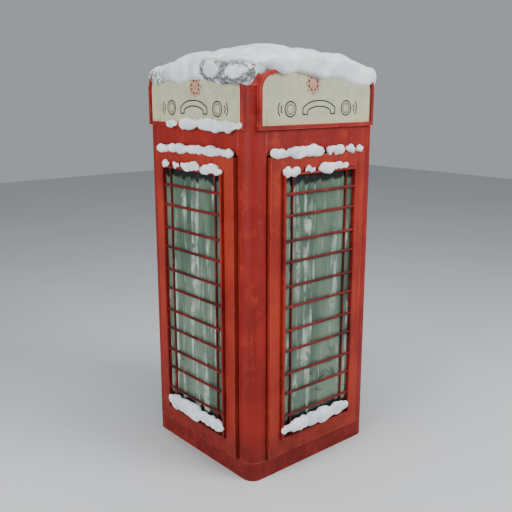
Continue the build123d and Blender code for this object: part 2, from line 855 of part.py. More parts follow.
def cash_door():
    """The door over the cash opening, with its knuckle, stub pins and lock bore."""
    thick = (cash_door_front, cash_door_back)
    plate = block((-cash_door_half, cash_door_half), thick,
                  (cash_bottom - cash_height_lap, cash_top + cash_height_lap))
    heights = (cash_bottom + cash_knuckle_end + clearance, cash_top - cash_knuckle_end - clearance)
    plate += rod_z(cash_knuckle_radius, cash_pivot_x, cash_pivot_y, heights)
    strap = (cash_door_front, cash_pivot_y + trunnion_radius)
    plate += block((cash_pivot_x, -cash_door_half), strap, heights)
    pin_heights = (heights[0] - cash_pin_reach, heights[1] + cash_pin_reach)
    plate += rod_z(trunnion_radius, cash_pivot_x, cash_pivot_y, pin_heights)
    return plate - rod_y(lock_radius + running_fit, lock_x, cash_middle, thick)


def cash_lock():
    """The lock barrel with its rose in front and its cam behind, shown unlocked, cam down."""
    rose_back = cash_door_front - clearance
    rose_front = rose_back - lock_rose_thickness
    cam_front = phone_front_inner + clearance
    lock = rod_y(lock_radius, lock_x, cash_middle, (rose_back, cam_front))
    rose_radius = lock_radius + lock_rose_width
    rose = rod_y(rose_radius, lock_x, cash_middle, (rose_front, rose_back))
    slot_half = lock_slot_width / 2
    rose -= block((lock_x - slot_half, lock_x + slot_half),
                  (rose_front, rose_front + lock_slot_width),
                  (cash_middle - rose_radius / 2, cash_middle + rose_radius / 2))
    cam = block((lock_x - lock_cam_half, lock_x + lock_cam_half),
                (cam_front, cam_front + lock_cam_thickness),
                (cash_middle - lock_cam_length, cash_middle + lock_cam_half))
    return lock + rose + cam


# ---- Settled snow, one plain solid for each drift ----------------------------------------------
def snow_on_roof(*below):
    """The snow cap: the roof grown outwards, cut away under its hem and where the booth is."""
    front = sign_proud + snow_overhang
    cap = cross_vault(snow_depth, snow_plane) + hips(snow_depth) + dome(snow_depth + snow_dome_extra)
    cap &= rounded_column(snow_plane, corner_radius + front, (snow_lowest, 2 * roof_peak))
    cap -= cross_vault(-snow_hang, snow_plane + front)
    for piece in (roof_mass(), *below):
        cap -= piece
    return cap


def clump(x_range, plane_range, z_range, *below):
    """One rounded clump on a ledge of the front side, cut to what it lies on."""
    drift = block(x_range, (-plane_range[1], -plane_range[0]), z_range)
    drift = fillet(drift.edges(), clump_round)
    for piece in below:
        drift -= piece
    return drift


panel_snow_z = (panel_top - snow_sink, panel_top + panel_snow_height)
trim_top = glazing_top + trim_width
trim_snow_z = (trim_top - snow_sink, trim_top + trim_snow_height)
sill_snow_z = (glazing_bottom + sill_snow_lift, glazing_bottom + sill_snow_lift + sill_snow_height)
sign_snow_z = (frieze_top - sign_snow_sink, frieze_top + sign_snow_height)
panel_snow_planes = (wall_plane, panel_plane + panel_snow_proud)
trim_snow_planes = (panel_plane, trim_plane + trim_snow_proud)
sill_snow_planes = (upright_plane + upright_bar_radius + sill_snow_lift, trim_plane + sill_snow_proud)
sign_snow_planes = (wall_plane + opal_thickness, sign_plane + sign_snow_proud)


def run_of(half, share):
    """A stretch of a ledge, from its share of the ledge's half width on each side."""
    return (share[0] * half, share[1] * half)


def side_snow(panel_shares, trim_shares, sill_share, *below):
    """The clumps of one side: on the panel's top edge, on the trim's top edge and on the sill."""
    made = []
    for share in panel_shares:
        made.append(clump(run_of(panel_half, share), panel_snow_planes, panel_snow_z, *below))
    for share in trim_shares:
        made.append(clump(run_of(glazing_half, share), trim_snow_planes, trim_snow_z, *below))
    made.append(clump(run_of(glazing_half, sill_share), sill_snow_planes, sill_snow_z, *below))
    return made


front_panel_shares = ((-1.0, 0.095), (0.137, 0.538), (0.562, 0.77), (0.794, 0.984))
front_trim_shares = ((-1.04, -0.616), (-0.48, -0.196), (-0.11, 0.79))
front_sill_share = (-1.04, 0.996)
left_panel_shares = ((-0.971, 1.0),)
left_trim_shares = ((-1.018, -0.776), (-0.623, -0.4), (-0.327, 0.317), (0.349, 1.04))
left_sill_share = (-1.018, 1.04)
left_sign_shares = ((-0.574, -0.318), (-0.272, 1.0))

# ---- Build and write every node ----------------------------------------------------------------
post = corner_post()
POST_TURNS = {"front_left": 0, "front_right": 90, "rear_right": 180, "rear_left": 270}
posts = []
for name, turn in POST_TURNS.items():
    turned = Rot(0, 0, turn) * post
    for side in ("front", "left", "rear"):
        for hole in screw_holes():
            turned -= on_side(side, hole)
    posts.append(turned)
    save(f"corner_post_{name}", turned)

save("base_plinth", plinth())
floor_heights = (plinth_height, plinth_height + plate_thickness)
cable_entry = rod_z(cable_entry_radius, -cable_entry_place, cable_entry_place, floor_heights)
save("floor_plate", flat_plate(plinth_height) - cable_entry)
rail = header_rail()
for side in SIDES:
    save(f"header_rail_{side}", on_side(side, rail))

roof_casting = roof()
save("roof_dome", roof_casting)
frame_of_sign = sign_frame(posts, roof_casting)
for side in SIDES:
    save(f"sign_frame_{side}", on_side(side, frame_of_sign))
    save(f"sign_panel_{side}", on_side(side, sign_panel()))

save("ceiling_panel", flat_plate(frieze_top) - rod_z(lamp_hole_radius, 0, 0, (frieze_top, ceiling_top)))
save("lamp_housing", lamp_housing())
save("lamp_diffuser", diffuser())
save("lamp_bulb", lamp_bulb())

fixed_panel = cast_panel()
moulding = trim()
grille = bars()
for side in ("front", "left"):
    save(f"{side}_window_frame", on_side(side, fixed_panel))
    save(f"{side}_window_trim", on_side(side, moulding))
    save(f"{side}_window_bars", on_side(side, grille))
    save(f"{side}_window_glass", on_side(side, pane()))
save("rear_panel_frame", on_side("rear", fixed_panel))
save("rear_panel_trim", on_side("rear", moulding))
save("rear_panel_plate", on_side("rear", pane()))
save("panel_screws", *[on_side(side, screw) for side in ("front", "left", "rear") for screw in screws()])

save("door_leaf", on_side("door", panel_slab(door_back_plane) - cup_pull(clearance)))
save("door_trim", on_side("door", moulding))
save("door_bars", on_side("door", grille))
save("door_glass", on_side("door", pane()))
save("door_cup_pull", on_side("door", cup_pull()))
save("door_hinge_fixed_leaves", *[hinge_leaf(height, False) for height in hinge_heights])
save("door_hinge_moving_leaves", *[hinge_leaf(height, True) for height in hinge_heights])
save("door_hinge_pins", *[hinge_pin(height) for height in hinge_heights])

save("backboard", block((-board_half, board_half), (phone_back, seat_plane), (board_bottom, board_top)))
save("phone_housing", phone_housing())
save("dial_plate", dial_plate())
save("finger_wheel", finger_wheel())
save("button_a", push_button(-button_x))
save("button_b", push_button(button_x))
save("switch_hook", switch_hook())
save("handset", handset())
save("coin_head", coin_head())
save("coin_return_flap", coin_return_flap())
save("cash_door", cash_door())
save("cash_lock", cash_lock())
save("directory_shelf", directory_shelf())

sign_frames = [on_side(side, frame_of_sign) for side in SIDES]
sign_sheets = [on_side(side, sign_panel()) for side in SIDES]
save("snow_roof", snow_on_roof(*posts, *sign_frames, *sign_sheets))
ledge_runs = [run_of(sign_half, share) for share in left_sign_shares]
ledge_clumps = [clump(run, sign_snow_planes, sign_snow_z, frame_of_sign) for run in ledge_runs]
save("snow_sign_ledge", *[on_side("left", drift) for drift in ledge_clumps])
lies_on = (fixed_panel, moulding)
front_snow = side_snow(front_panel_shares, front_trim_shares, front_sill_share, *lies_on)
left_snow = side_snow(left_panel_shares, left_trim_shares, left_sill_share, *lies_on)
save("snow_front_ledges", *front_snow)
save("snow_left_ledges", *[on_side("left", drift) for drift in left_snow])
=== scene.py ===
# %% [markdown]
# # A street telephone booth in old snow
# The real booth is a cast-iron body with glazed sides, painted red many times over, with lit
# signs under an arched roof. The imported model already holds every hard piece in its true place,
# so this lesson loads it, gives each surface its finish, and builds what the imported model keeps
# plain: the settled snow, the marks on the signs and the digits on the dial.

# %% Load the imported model
import json
import math

import bpy
import numpy as np
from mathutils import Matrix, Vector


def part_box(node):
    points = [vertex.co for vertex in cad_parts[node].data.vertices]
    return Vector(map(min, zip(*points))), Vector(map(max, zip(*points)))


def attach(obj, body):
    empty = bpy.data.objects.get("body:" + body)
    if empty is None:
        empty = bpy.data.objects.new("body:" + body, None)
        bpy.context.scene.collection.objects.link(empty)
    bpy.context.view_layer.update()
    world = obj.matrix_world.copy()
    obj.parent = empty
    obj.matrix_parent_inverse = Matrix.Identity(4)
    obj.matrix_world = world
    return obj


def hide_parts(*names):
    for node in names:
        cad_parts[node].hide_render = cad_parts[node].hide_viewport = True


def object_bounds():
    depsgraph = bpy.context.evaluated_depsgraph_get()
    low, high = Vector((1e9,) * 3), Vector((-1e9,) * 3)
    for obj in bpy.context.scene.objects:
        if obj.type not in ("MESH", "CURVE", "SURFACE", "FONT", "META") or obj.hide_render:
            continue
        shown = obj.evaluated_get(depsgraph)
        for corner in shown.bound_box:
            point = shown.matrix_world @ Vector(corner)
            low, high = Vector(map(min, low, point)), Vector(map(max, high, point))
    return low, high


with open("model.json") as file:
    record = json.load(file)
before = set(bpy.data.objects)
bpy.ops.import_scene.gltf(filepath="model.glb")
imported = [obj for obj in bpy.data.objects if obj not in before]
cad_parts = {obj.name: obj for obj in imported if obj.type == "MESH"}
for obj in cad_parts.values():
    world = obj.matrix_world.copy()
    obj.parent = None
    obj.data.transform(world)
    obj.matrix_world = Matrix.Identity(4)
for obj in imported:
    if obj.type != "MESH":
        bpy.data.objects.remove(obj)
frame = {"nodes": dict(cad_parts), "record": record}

cad_low, cad_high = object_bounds()
print("CAD box in metres:", [round(v, 3) for v in (*cad_low, *cad_high)])

# %% [markdown]
# ## Camera
# A booth shows its shape best from a little above head height and from some metres away, where two
# sides can be seen. The camera stands off the corner between the front and the left side and looks
# down by a few degrees, with a slightly long lens so that the posts stay nearly upright.

# %% Camera off the front left corner
CAMERA_PLACE = (-2.8666, -3.3020, 2.2665)
CAMERA_TURN = -40.607
CAMERA_PITCH = 13.47
CAMERA_LENS = 48.67

lens = bpy.data.cameras.new("camera")
lens.sensor_width = 36
lens.lens = CAMERA_LENS
camera = bpy.data.objects.new("camera", lens)
camera.location = CAMERA_PLACE
camera.rotation_euler = (math.radians(90 - CAMERA_PITCH), 0, math.radians(CAMERA_TURN))
bpy.context.scene.collection.objects.link(camera)
bpy.context.scene.camera = camera
print("camera at", CAMERA_PLACE)

# %% [markdown]
# ## Writing shaders as sums
# A finish is a recipe: this much dark paint where that noise is high, less gloss where it is dirty.
# Node trees say the same with many boxes. One small class wraps a socket so that + - * / build the
# Math nodes, and one method makes any other node, with its settings first and its sockets after.

# %% A socket that can be reckoned with
class Wire:
    """One output socket of a finish, on which the usual signs add Math nodes."""

    def __init__(self, finish, socket):
        self.finish = finish
        self.socket = socket

    def reckon(self, operation, first, second=None):
        sockets = {0: first} if second is None else {0: first, 1: second}
        return self.finish.node("ShaderNodeMath", {"operation": operation}, sockets)

    def __add__(self, other):
        return self.reckon("ADD", self, other)

    def __sub__(self, other):
        return self.reckon("SUBTRACT", self, other)

    def __rsub__(self, other):
        return self.reckon("SUBTRACT", other, self)

    def __mul__(self, other):
        return self.reckon("MULTIPLY", self, other)

    def __truediv__(self, other):
        return self.reckon("DIVIDE", self, other)

    def __abs__(self):
        return self.reckon("ABSOLUTE", self)

    __radd__ = __add__
    __rmul__ = __mul__

    def most(self, other):
        """The larger of the two."""
        return self.reckon("MAXIMUM", self, other)

    def least(self, other):
        """The smaller of the two."""
        return self.reckon("MINIMUM", self, other)

    def root(self):
        """The square root."""
        return self.reckon("SQRT", self)

    def rise(self, low, high):
        """0 below low, 1 above high, and a smooth step between them; high may be the smaller."""
        settings = {"interpolation_type": "SMOOTHSTEP"}
        return self.finish.node("ShaderNodeMapRange", settings, {0: self, 1: low, 2: high})


class Finish:
    """One material: a Principled shader and the nodes that feed it."""

    def __init__(self, name, **fixed):
        self.material = bpy.data.materials.new(name)
        self.material.use_nodes = True
        self.tree = self.material.node_tree
        self.tree.nodes.clear()
        self.shader = self.tree.nodes.new("ShaderNodeBsdfPrincipled")
        output = self.tree.nodes.new("ShaderNodeOutputMaterial")
        self.tree.links.new(self.shader.outputs[0], output.inputs[0])
        self.place = self.node("ShaderNodeTexCoord", output="Object")
        for key, value in fixed.items():
            self.shader.inputs[key.replace("_", " ")].default_value = value

    def node(self, kind, settings=None, sockets=None, output=0):
        """Any node: its settings, then its sockets, each a wire or a number; gives one output."""
        made = self.tree.nodes.new(kind)
        for key, value in (settings or {}).items():
            setattr(made, key, value)
        for key, value in (sockets or {}).items():
            if isinstance(value, Wire):
                self.tree.links.new(value.socket, made.inputs[key])
            else:
                made.inputs[key].default_value = value
        return Wire(self, made.outputs[output])

    def axis(self, letter):
        """One coordinate of the place on the surface, in metres."""
        return self.node("ShaderNodeSeparateXYZ", None, {0: self.place}, output=letter)

    def spread(self, stretch, shift=(0.0, 0.0, 0.0)):
        """The place multiplied along each axis and moved, so that a pattern gets its grain."""
        sockets = {0: self.place, 1: stretch, 2: shift}
        return self.node("ShaderNodeVectorMath", {"operation": "MULTIPLY_ADD"}, sockets)

    def noise(self, scale, detail=4.0, stretch=(1.0, 1.0, 1.0), rough=0.55, bend=0.0, shift=0.0):
        """Noise with about scale lumps to a metre; a small stretch makes its lumps long."""
        where = self.spread(stretch, (shift, 2 * shift, 3 * shift))
        sockets = {"Vector": where, "Scale": scale, "Detail": detail, "Roughness": rough, "Distortion": bend}
        return self.node("ShaderNodeTexNoise", None, sockets)

    def blend(self, mask, base, over):
        """The base colour where the mask is 0 and the other where it is 1."""
        return self.node("ShaderNodeMix", {"data_type": "RGBA"}, {0: mask, 6: base, 7: over}, output=2)

    def edges(self, radius):
        """About 1 along sharp edges and 0 on flats: how far a rounded normal leans from the true one."""
        rounded = self.node("ShaderNodeBevel", {"samples": 6}, {"Radius": radius})
        true = self.node("ShaderNodeNewGeometry", output="Normal")
        dot = {"operation": "DOT_PRODUCT"}
        lean = self.node("ShaderNodeVectorMath", dot, {0: rounded, 1: true}, output="Value")
        return (1.0 - lean).rise(0.01, 0.16)

    def feed(self, **wires):
        """Each wire into the shader's socket of that name."""
        for key, wire in wires.items():
            self.tree.links.new(wire.socket, self.shader.inputs[key.replace("_", " ")])
        return self

    def bump(self, height, strength, distance):
        """The height as a bump on the surface, so many metres deep."""
        sockets = {"Height": height, "Strength": strength, "Distance": distance}
        return self.feed(Normal=self.node("ShaderNodeBump", None, sockets))


def tint(red, green, blue):
    """A display colour of 0 to 255 as the linear colour that the shader wants."""
    shares = [v / 255 for v in (red, green, blue)]
    return (*[s / 12.92 if s <= 0.04045 else ((s + 0.055) / 1.055) ** 2.4 for s in shares], 1.0)


print("a mid red in linear light:", [round(v, 3) for v in tint(160, 50, 40)])

# %% [markdown]
# ## Floor and light
# A pale floor and a pale sky show the object without colouring it. One large soft lamp stands to
# the front right and above, as an overcast sky that is brighter on one side, and a weaker one
# fills the left side. Both are large, so the shadows under the snow stay soft.

# %% Pale floor
FLOOR_HALF = 14.0
floor_mesh = bpy.data.meshes.new("floor")
corners = [(-FLOOR_HALF, -FLOOR_HALF, 0), (FLOOR_HALF, -FLOOR_HALF, 0),
           (FLOOR_HALF, FLOOR_HALF, 0), (-FLOOR_HALF, FLOOR_HALF, 0)]
floor_mesh.from_pydata(corners, [], [(0, 1, 2, 3)])
floor = bpy.data.objects.new("floor", floor_mesh)
bpy.context.scene.collection.objects.link(floor)
paving = Finish("pale_floor", Roughness=0.85)
paving.feed(Base_Color=paving.blend(paving.noise(0.7, 3.0), tint(196, 198, 200), tint(206, 208, 210)))
floor_mesh.materials.append(paving.material)
print("floor", 2 * FLOOR_HALF, "m wide")

# %% Sky and two soft lamps
SKY_COLOUR = (0.80, 0.86, 0.92, 1.0)
SKY_STRENGTH = 0.42
BOOTH_MIDDLE = (0, 0, 1.3)

sky = bpy.data.worlds.new("pale_sky")
sky.use_nodes = True
sky.node_tree.nodes["Background"].inputs[0].default_value = SKY_COLOUR
sky.node_tree.nodes["Background"].inputs[1].default_value = SKY_STRENGTH
bpy.context.scene.world = sky


def soft_lamp(name, place, aim, size, power):
    """A square area lamp that faces the point aimed at."""
    data = bpy.data.lights.new(name, "AREA")
    data.size = size
    data.energy = power
    lamp = bpy.data.objects.new(name, data)
    away = np.subtract(place, aim)
    flat = math.hypot(away[0], away[1])
    lamp.location = place
    lamp.rotation_euler = (math.atan2(flat, away[2]), 0, math.atan2(away[0], -away[1]))
    bpy.context.scene.collection.objects.link(lamp)


soft_lamp("key_lamp", (2.4, -5.2, 4.6), BOOTH_MIDDLE, 3.0, 385)
soft_lamp("fill_lamp", (-5.4, -0.6, 3.2), BOOTH_MIDDLE, 3.5, 255)
soft_lamp("top_lamp", (-0.6, -0.8, 6.5), BOOTH_MIDDLE, 3.0, 170)
print("three soft lamps")

# %% [markdown]
# ## Red paint
# Such a booth is repainted every few years without stripping, so the red is thick, slightly
# uneven and never one colour: sun-bleached orange on the flats, crimson where rain runs, soot near
# the ground, and a painted highlight of pale pink along the edges. Noise at three sizes gives the
# patches, stretched noise gives the runs, and the edges are found by comparing a rounded normal with the
# true one.

# %% The paint recipe
FADED_RED = tint(176, 62, 38)
RUN_RED = tint(92, 18, 16)
SOOT_RED = tint(62, 18, 14)
CHIP_RED = tint(64, 28, 22)
# painted highlight: the pale pink laid along edges
EDGE_HIGHLIGHT_RED = tint(206, 104, 88)
SOOT_HEIGHT = 0.50


def red_paint(name, bright, deep, runs=0.55):
    """Paint between a bright and a deep red, with runs, soot near the ground, chips and a painted pink
    highlight on the edges.
    """
    paint = Finish(name, IOR=1.45, Specular_IOR_Level=0.28)
    broad = paint.noise(2.1, 5.0)
    patches = paint.noise(11.0, 7.0, rough=0.65, bend=0.4)
    run = paint.noise(26.0, 5.0, stretch=(1.0, 1.0, 0.07), rough=0.6)
    grit = paint.noise(160.0, 3.0)
    height = paint.axis("Z")
    colour = paint.blend(broad.rise(0.36, 0.66), deep, bright)
    colour = paint.blend(patches.rise(0.5, 0.72) * 0.45, colour, FADED_RED)
    colour = paint.blend(run.rise(0.52, 0.72) * runs, colour, RUN_RED)
    low = height.rise(SOOT_HEIGHT, 0.02)
    soot = low * (0.35 + 0.65 * patches.rise(0.40, 0.58))
    colour = paint.blend(soot * 0.55, colour, SOOT_RED)
    chips = paint.noise(46.0, 9.0, rough=0.7, shift=3.0).rise(0.675, 0.70)
    colour = paint.blend(chips * 0.55, colour, CHIP_RED)
    # painted highlight: pale pink where the rounded normal leans from the true one, broken up by noise, and
    # a little glossier there
    edge_highlight = paint.edges(0.006) * paint.noise(19.0, 6.0, rough=0.7, shift=7.0).rise(0.34, 0.58)
    colour = paint.blend(edge_highlight * 0.66, colour, EDGE_HIGHLIGHT_RED)
    rough = 0.44 + 0.20 * patches + 0.18 * soot - 0.08 * edge_highlight
    hills = 0.7 * patches + 0.15 * grit - 0.5 * chips + 0.25 * run
    paint.feed(Base_Color=colour, Roughness=rough)
    return paint.bump(hills, 0.35, 0.0016)


PANEL_RED = red_paint("red_paint_panels", tint(160, 50, 32), tint(134, 34, 25))
POST_RED = red_paint("red_paint_posts", tint(144, 33, 26), tint(124, 24, 21))
TRIM_RED = red_paint("red_paint_trim", tint(154, 36, 28), tint(108, 16, 18))
BAR_RED = red_paint("red_paint_bars", tint(112, 22, 22), tint(70, 10, 13))
ROOF_RED = red_paint("red_paint_roof", tint(158, 34, 26), tint(118, 20, 19))
print("five reds from one recipe")

# %% [markdown]
# ## Glass that has not been cleaned
# The panes are grey green, with frost and old rain in upright streaks, and ragged near-black bands of
# painted shade where the frame shades the top and the drift on the sill shades the foot. Very little
# shows through, so the pane is nearly opaque. Streaks are noise squeezed along Z, and the bands follow
# the height on the pane, made ragged by the same noise.

# %% Streaked panes
GLASS_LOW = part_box("front_window_glass")[0].z
GLASS_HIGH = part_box("front_window_glass")[1].z
SHADE_DEPTH = 0.075
FOOT_SHADOW_DEPTH = 0.135
SHADE_SOFT = 0.020


def dirty_glass():
    """Grey green glass with pale upright streaks, darker patches low down, and a shaded top and foot."""
    pane = Finish("dirty_window_glass", IOR=1.5, Specular_IOR_Level=0.35, Coat_Roughness=0.1)
    height = pane.axis("Z")
    broad = pane.noise(5.2, 4.0, stretch=(1.0, 1.0, 0.22))
    streak = pane.noise(17.0, 6.0, stretch=(1.0, 1.0, 0.10), rough=0.62, bend=0.25)
    thread = pane.noise(58.0, 4.0, stretch=(1.0, 1.0, 0.05), rough=0.6)
    blot = pane.noise(8.5, 6.0, rough=0.65, bend=0.5, shift=4.0)
    colour = pane.blend(broad.rise(0.35, 0.65), tint(66, 88, 72), tint(104, 124, 106))
    colour = pane.blend(blot.rise(0.52, 0.66) * height.rise(1.3, 0.45) * 0.8, colour, tint(38, 56, 42))
    pale = (streak.rise(0.50, 0.66) * blot.rise(0.36, 0.52)).most(thread.rise(0.62, 0.74) * 0.5)
    colour = pane.blend(pale * 0.8, colour, tint(190, 204, 190))
    ragged = height + 0.16 * (streak - 0.5) + 0.05 * (blot - 0.5)
    # painted shadow: near-black bands at the top of the pane, under the frame, and at its foot, under the
    # drift on the sill
    shade = ragged.rise(GLASS_HIGH - SHADE_DEPTH, GLASS_HIGH - SHADE_DEPTH + SHADE_SOFT)
    foot = ragged.rise(GLASS_LOW + FOOT_SHADOW_DEPTH, GLASS_LOW + FOOT_SHADOW_DEPTH - SHADE_SOFT)
    colour = pane.blend(shade.most(foot) * 0.97, colour, tint(6, 8, 6))
    alpha = 0.95 + 0.05 * pale.most(shade)
    pane.feed(Base_Color=colour, Roughness=0.34 + 0.35 * pale, Alpha=alpha,
              Coat_Weight=(0.22 - 0.15 * pale) * (1 - shade))
    return pane.bump(streak + 0.3 * thread, 0.2, 0.001)


WINDOW_GLASS = dirty_glass()
print("pane from z", round(GLASS_LOW, 3), "to", round(GLASS_HIGH, 3))

# %% [markdown]
# ## Opal signs
# The signs are cream opal sheets that a lamp shines through at night. By day they are a matt
# cream, a little green in the middle and warmer at the rim, with grime that has run down from the
# top edge. Height and noise are enough for that.

# %% Cream sheets
SIGN_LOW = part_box("sign_panel_front")[0].z
SIGN_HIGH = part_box("sign_panel_front")[1].z


def opal():
    """Cream sheet, greener in the middle, with warm dirty margins and faint runs."""
    sheet = Finish("opal_sign_sheet", IOR=1.49, Specular_IOR_Level=0.3)
    height = sheet.axis("Z")
    across = abs(sheet.axis("X")).least(abs(sheet.axis("Y")))
    mottle = sheet.noise(14.0, 6.0, rough=0.6)
    run = sheet.noise(22.0, 5.0, stretch=(1.0, 1.0, 0.12))
    margin = height.rise(SIGN_LOW + 0.06, SIGN_LOW + 0.005).most(across.rise(0.36, 0.435))
    margin = margin.most(height.rise(SIGN_HIGH - 0.07, SIGN_HIGH - 0.02))
    colour = sheet.blend(mottle.rise(0.3, 0.7), tint(170, 172, 144), tint(188, 188, 160))
    colour = sheet.blend(margin * 0.7, colour, tint(204, 190, 152))
    grime = run.rise(0.54, 0.74) * (0.18 + 0.5 * margin)
    colour = sheet.blend(grime, colour, tint(132, 118, 90))
    sheet.feed(Base_Color=colour, Roughness=0.42 + 0.2 * mottle)
    return sheet.bump(mottle, 0.12, 0.0008)


OPAL_SHEET = opal()
print("sign from z", round(SIGN_LOW, 3), "to", round(SIGN_HIGH, 3))

# %% [markdown]
# ## Metals, enamel and timber inside
# The fittings are small, so each needs only the few marks that its material always has: brass
# dulls in patches, bright steel gets fine scratches, black enamel shows its thick edges, and an
# oak board has grain that runs up it. One recipe with a dull and a clean colour covers the metals.

# %% Fittings
def worn_metal(name, clean, dull, scratch=(1.0, 1.0, 12.0), gloss=0.22):
    """Metal whose colour and roughness follow tarnish patches, with fine scratches in one direction."""
    metal = Finish(name, Metallic=1.0)
    tarnish = metal.noise(38.0, 6.0, rough=0.65)
    lines = metal.noise(240.0, 3.0, stretch=scratch)
    worn = metal.edges(0.0015)
    colour = metal.blend(tarnish.rise(0.42, 0.66) * (1.0 - worn), clean, dull)
    metal.feed(Base_Color=colour, Roughness=gloss + 0.3 * tarnish.rise(0.4, 0.7) + 0.1 * lines)
    return metal.bump(lines, 0.12, 0.0003)


def enamel(name, fresh, faded, chip, gloss):
    """Stove enamel: a smooth skin with slight orange peel, worn edges and a few chips."""
    skin = Finish(name, IOR=1.5, Coat_Weight=0.5, Coat_Roughness=0.12)
    cloud = skin.noise(9.0, 5.0)
    peel = skin.noise(320.0, 2.0)
    chips = skin.noise(60.0, 8.0, rough=0.7, shift=2.0).rise(0.70, 0.73)
    worn = (skin.edges(0.003) * skin.noise(70.0, 5.0).rise(0.4, 0.6)).most(chips)
    colour = skin.blend(cloud.rise(0.35, 0.65), fresh, faded)
    skin.feed(Base_Color=skin.blend(worn * 0.7, colour, chip), Roughness=gloss + 0.15 * cloud + 0.3 * worn)
    return skin.bump(0.4 * peel - chips, 0.15, 0.0006)


def timber(name, light, dark):
    """Varnished board with long grain up Z, crossed by faint rings."""
    board = Finish(name, IOR=1.5, Coat_Weight=0.35, Coat_Roughness=0.2)
    rings = board.noise(7.0, 3.0, stretch=(1.0, 1.0, 0.12), bend=0.8)
    grain = board.noise(150.0, 5.0, stretch=(1.0, 1.0, 0.02), rough=0.7)
    worn = board.edges(0.004)
    colour = board.blend((rings * 9.0 - 0.5).reckon("PINGPONG", rings * 9.0, 1.0), light, dark)
    colour = board.blend(grain.rise(0.5, 0.75) * 0.6, colour, tint(46, 26, 14))
    board.feed(Base_Color=board.blend(worn * 0.4, colour, tint(176, 134, 92)), Roughness=0.34 + 0.3 * grain)
    return board.bump(grain, 0.2, 0.0006)


def iron_floor():
    """Dark cast plate with a raised lozenge pattern, rubbed bright on its crests."""
    plate = Finish("iron_floor_plate", Metallic=0.8)
    waves = [plate.axis("X") + plate.axis("Y"), plate.axis("X") - plate.axis("Y")]
    ridges = [abs((wave * 42.0).reckon("SINE", wave * 42.0)) for wave in waves]
    crest = (ridges[0] * ridges[1]).rise(0.55, 0.85)
    dirt = plate.noise(12.0, 6.0)
    colour = plate.blend(crest * 0.6, tint(48, 47, 46), tint(120, 118, 114))
    plate.feed(Base_Color=plate.blend(dirt.rise(0.5, 0.7) * 0.7, colour, tint(62, 50, 40)),
               Roughness=0.75 - 0.35 * crest)
    return plate.bump(crest, 0.8, 0.003)


BRASS = worn_metal("old_brass", tint(196, 158, 86), tint(112, 84, 44))
BRIGHT = worn_metal("bright_plate", tint(205, 206, 208), tint(138, 140, 142), gloss=0.12)
STEEL = worn_metal("screw_steel", tint(150, 150, 152), tint(96, 84, 74), gloss=0.35)
BLACK_ENAMEL = enamel("black_enamel", tint(20, 20, 22), tint(34, 33, 33), tint(104, 98, 92), 0.18)
BAKELITE = enamel("black_bakelite", tint(16, 14, 14), tint(30, 25, 23), tint(54, 46, 42), 0.14)
CREAM_ENAMEL = enamel("cream_enamel", tint(222, 214, 190), tint(204, 194, 166), tint(108, 90, 70), 0.3)
OAK = timber("oak_board", tint(140, 92, 54), tint(96, 58, 32))
DOOR_RED = red_paint("red_paint_door", tint(170, 52, 32), tint(138, 32, 24))
FLOOR_IRON = iron_floor()
LAMP_GLASS = enamel("lamp_glass", tint(232, 230, 216), tint(220, 216, 200), tint(190, 184, 168), 0.12)
print("ten finishes for the fittings")

# %% [markdown]
# ## Each node gets its finish
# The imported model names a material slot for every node, so one table turns slots into finishes.
# The posts, mouldings and bars share a slot with the panels but are a darker red on the real
# booth, so a second table of name beginnings is looked at first.

# %% Assign
BY_NAME = [("corner_post", POST_RED), ("header_rail", POST_RED), ("base_plinth", POST_RED),
           ("sign_frame", ROOF_RED), ("roof_dome", ROOF_RED)]
BY_SLOT = {"red_cast_iron": PANEL_RED, "red_timber": DOOR_RED, "window_glass": WINDOW_GLASS,
           "opal_sheet": OPAL_SHEET, "lamp_glass": LAMP_GLASS, "brass_fittings": BRASS,
           "bright_metal": BRIGHT, "steel_screws": STEEL, "black_case": BLACK_ENAMEL,
           "black_bakelite": BAKELITE, "cream_enamel": CREAM_ENAMEL, "floor_iron": FLOOR_IRON,
           "board_timber": OAK}
SLOT_OF = {row["node"]: row["material_slot"] for row in frame["record"]["subparts"]}


def finish_of(node):
    """The finish for a node: by its name if the name is listed, or else by its slot."""
    if node.endswith("_trim"):
        return TRIM_RED
    if node.endswith("_bars"):
        return BAR_RED
    for beginning, finish in BY_NAME:
        if node.startswith(beginning):
            return finish
    return BY_SLOT.get(SLOT_OF[node])


for name, node in frame["nodes"].items():
    finish = finish_of(name)
    if finish:
        node.data.materials.clear()
        node.data.materials.append(finish.material)
print(len(frame["nodes"]), "nodes have their finish")

# %% [markdown]
# ## Surfaces from grids
# Snow is a skin over something, so it is easiest as a grid of points: one direction runs round or
# along the drift, the other across it. All points are worked out at once as arrays. The first and
# last rings shrink to a single point each, which closes the skin.

# %% Grid to mesh
SIDE_TURN = {"front": 0, "door": 90, "rear": 180, "left": 270}


def turned(points, side):
    """Points made on the front side, carried round to another: a turn about Z by its angle."""
    angle = math.radians(SIDE_TURN[side])
    cosine, sine = math.cos(angle), math.sin(angle)
    turn = np.array([[cosine, -sine, 0], [sine, cosine, 0], [0, 0, 1]])
    return points @ turn.T


def skin(rings, first, last):
    """Vertices and faces of a closed skin: rings of points joined by quads, with a fan at each end."""
    count, around = rings.shape[:2]
    points = np.concatenate([rings.reshape(-1, 3), [first, last]])
    i, j = np.meshgrid(np.arange(count - 1), np.arange(around), indexing="ij")
    k = (j + 1) % around
    quads = np.stack([i * around + j, i * around + k, (i + 1) * around + k, (i + 1) * around + j], -1)
    j, k = np.arange(around), (np.arange(around) + 1) % around
    start, end = count * around, count * around + 1
    base = (count - 1) * around
    fans = np.concatenate([np.stack([np.full(around, start), k, j], -1),
                           np.stack([np.full(around, end), base + j, base + k], -1)])
    return points, quads.reshape(-1, 4), fans


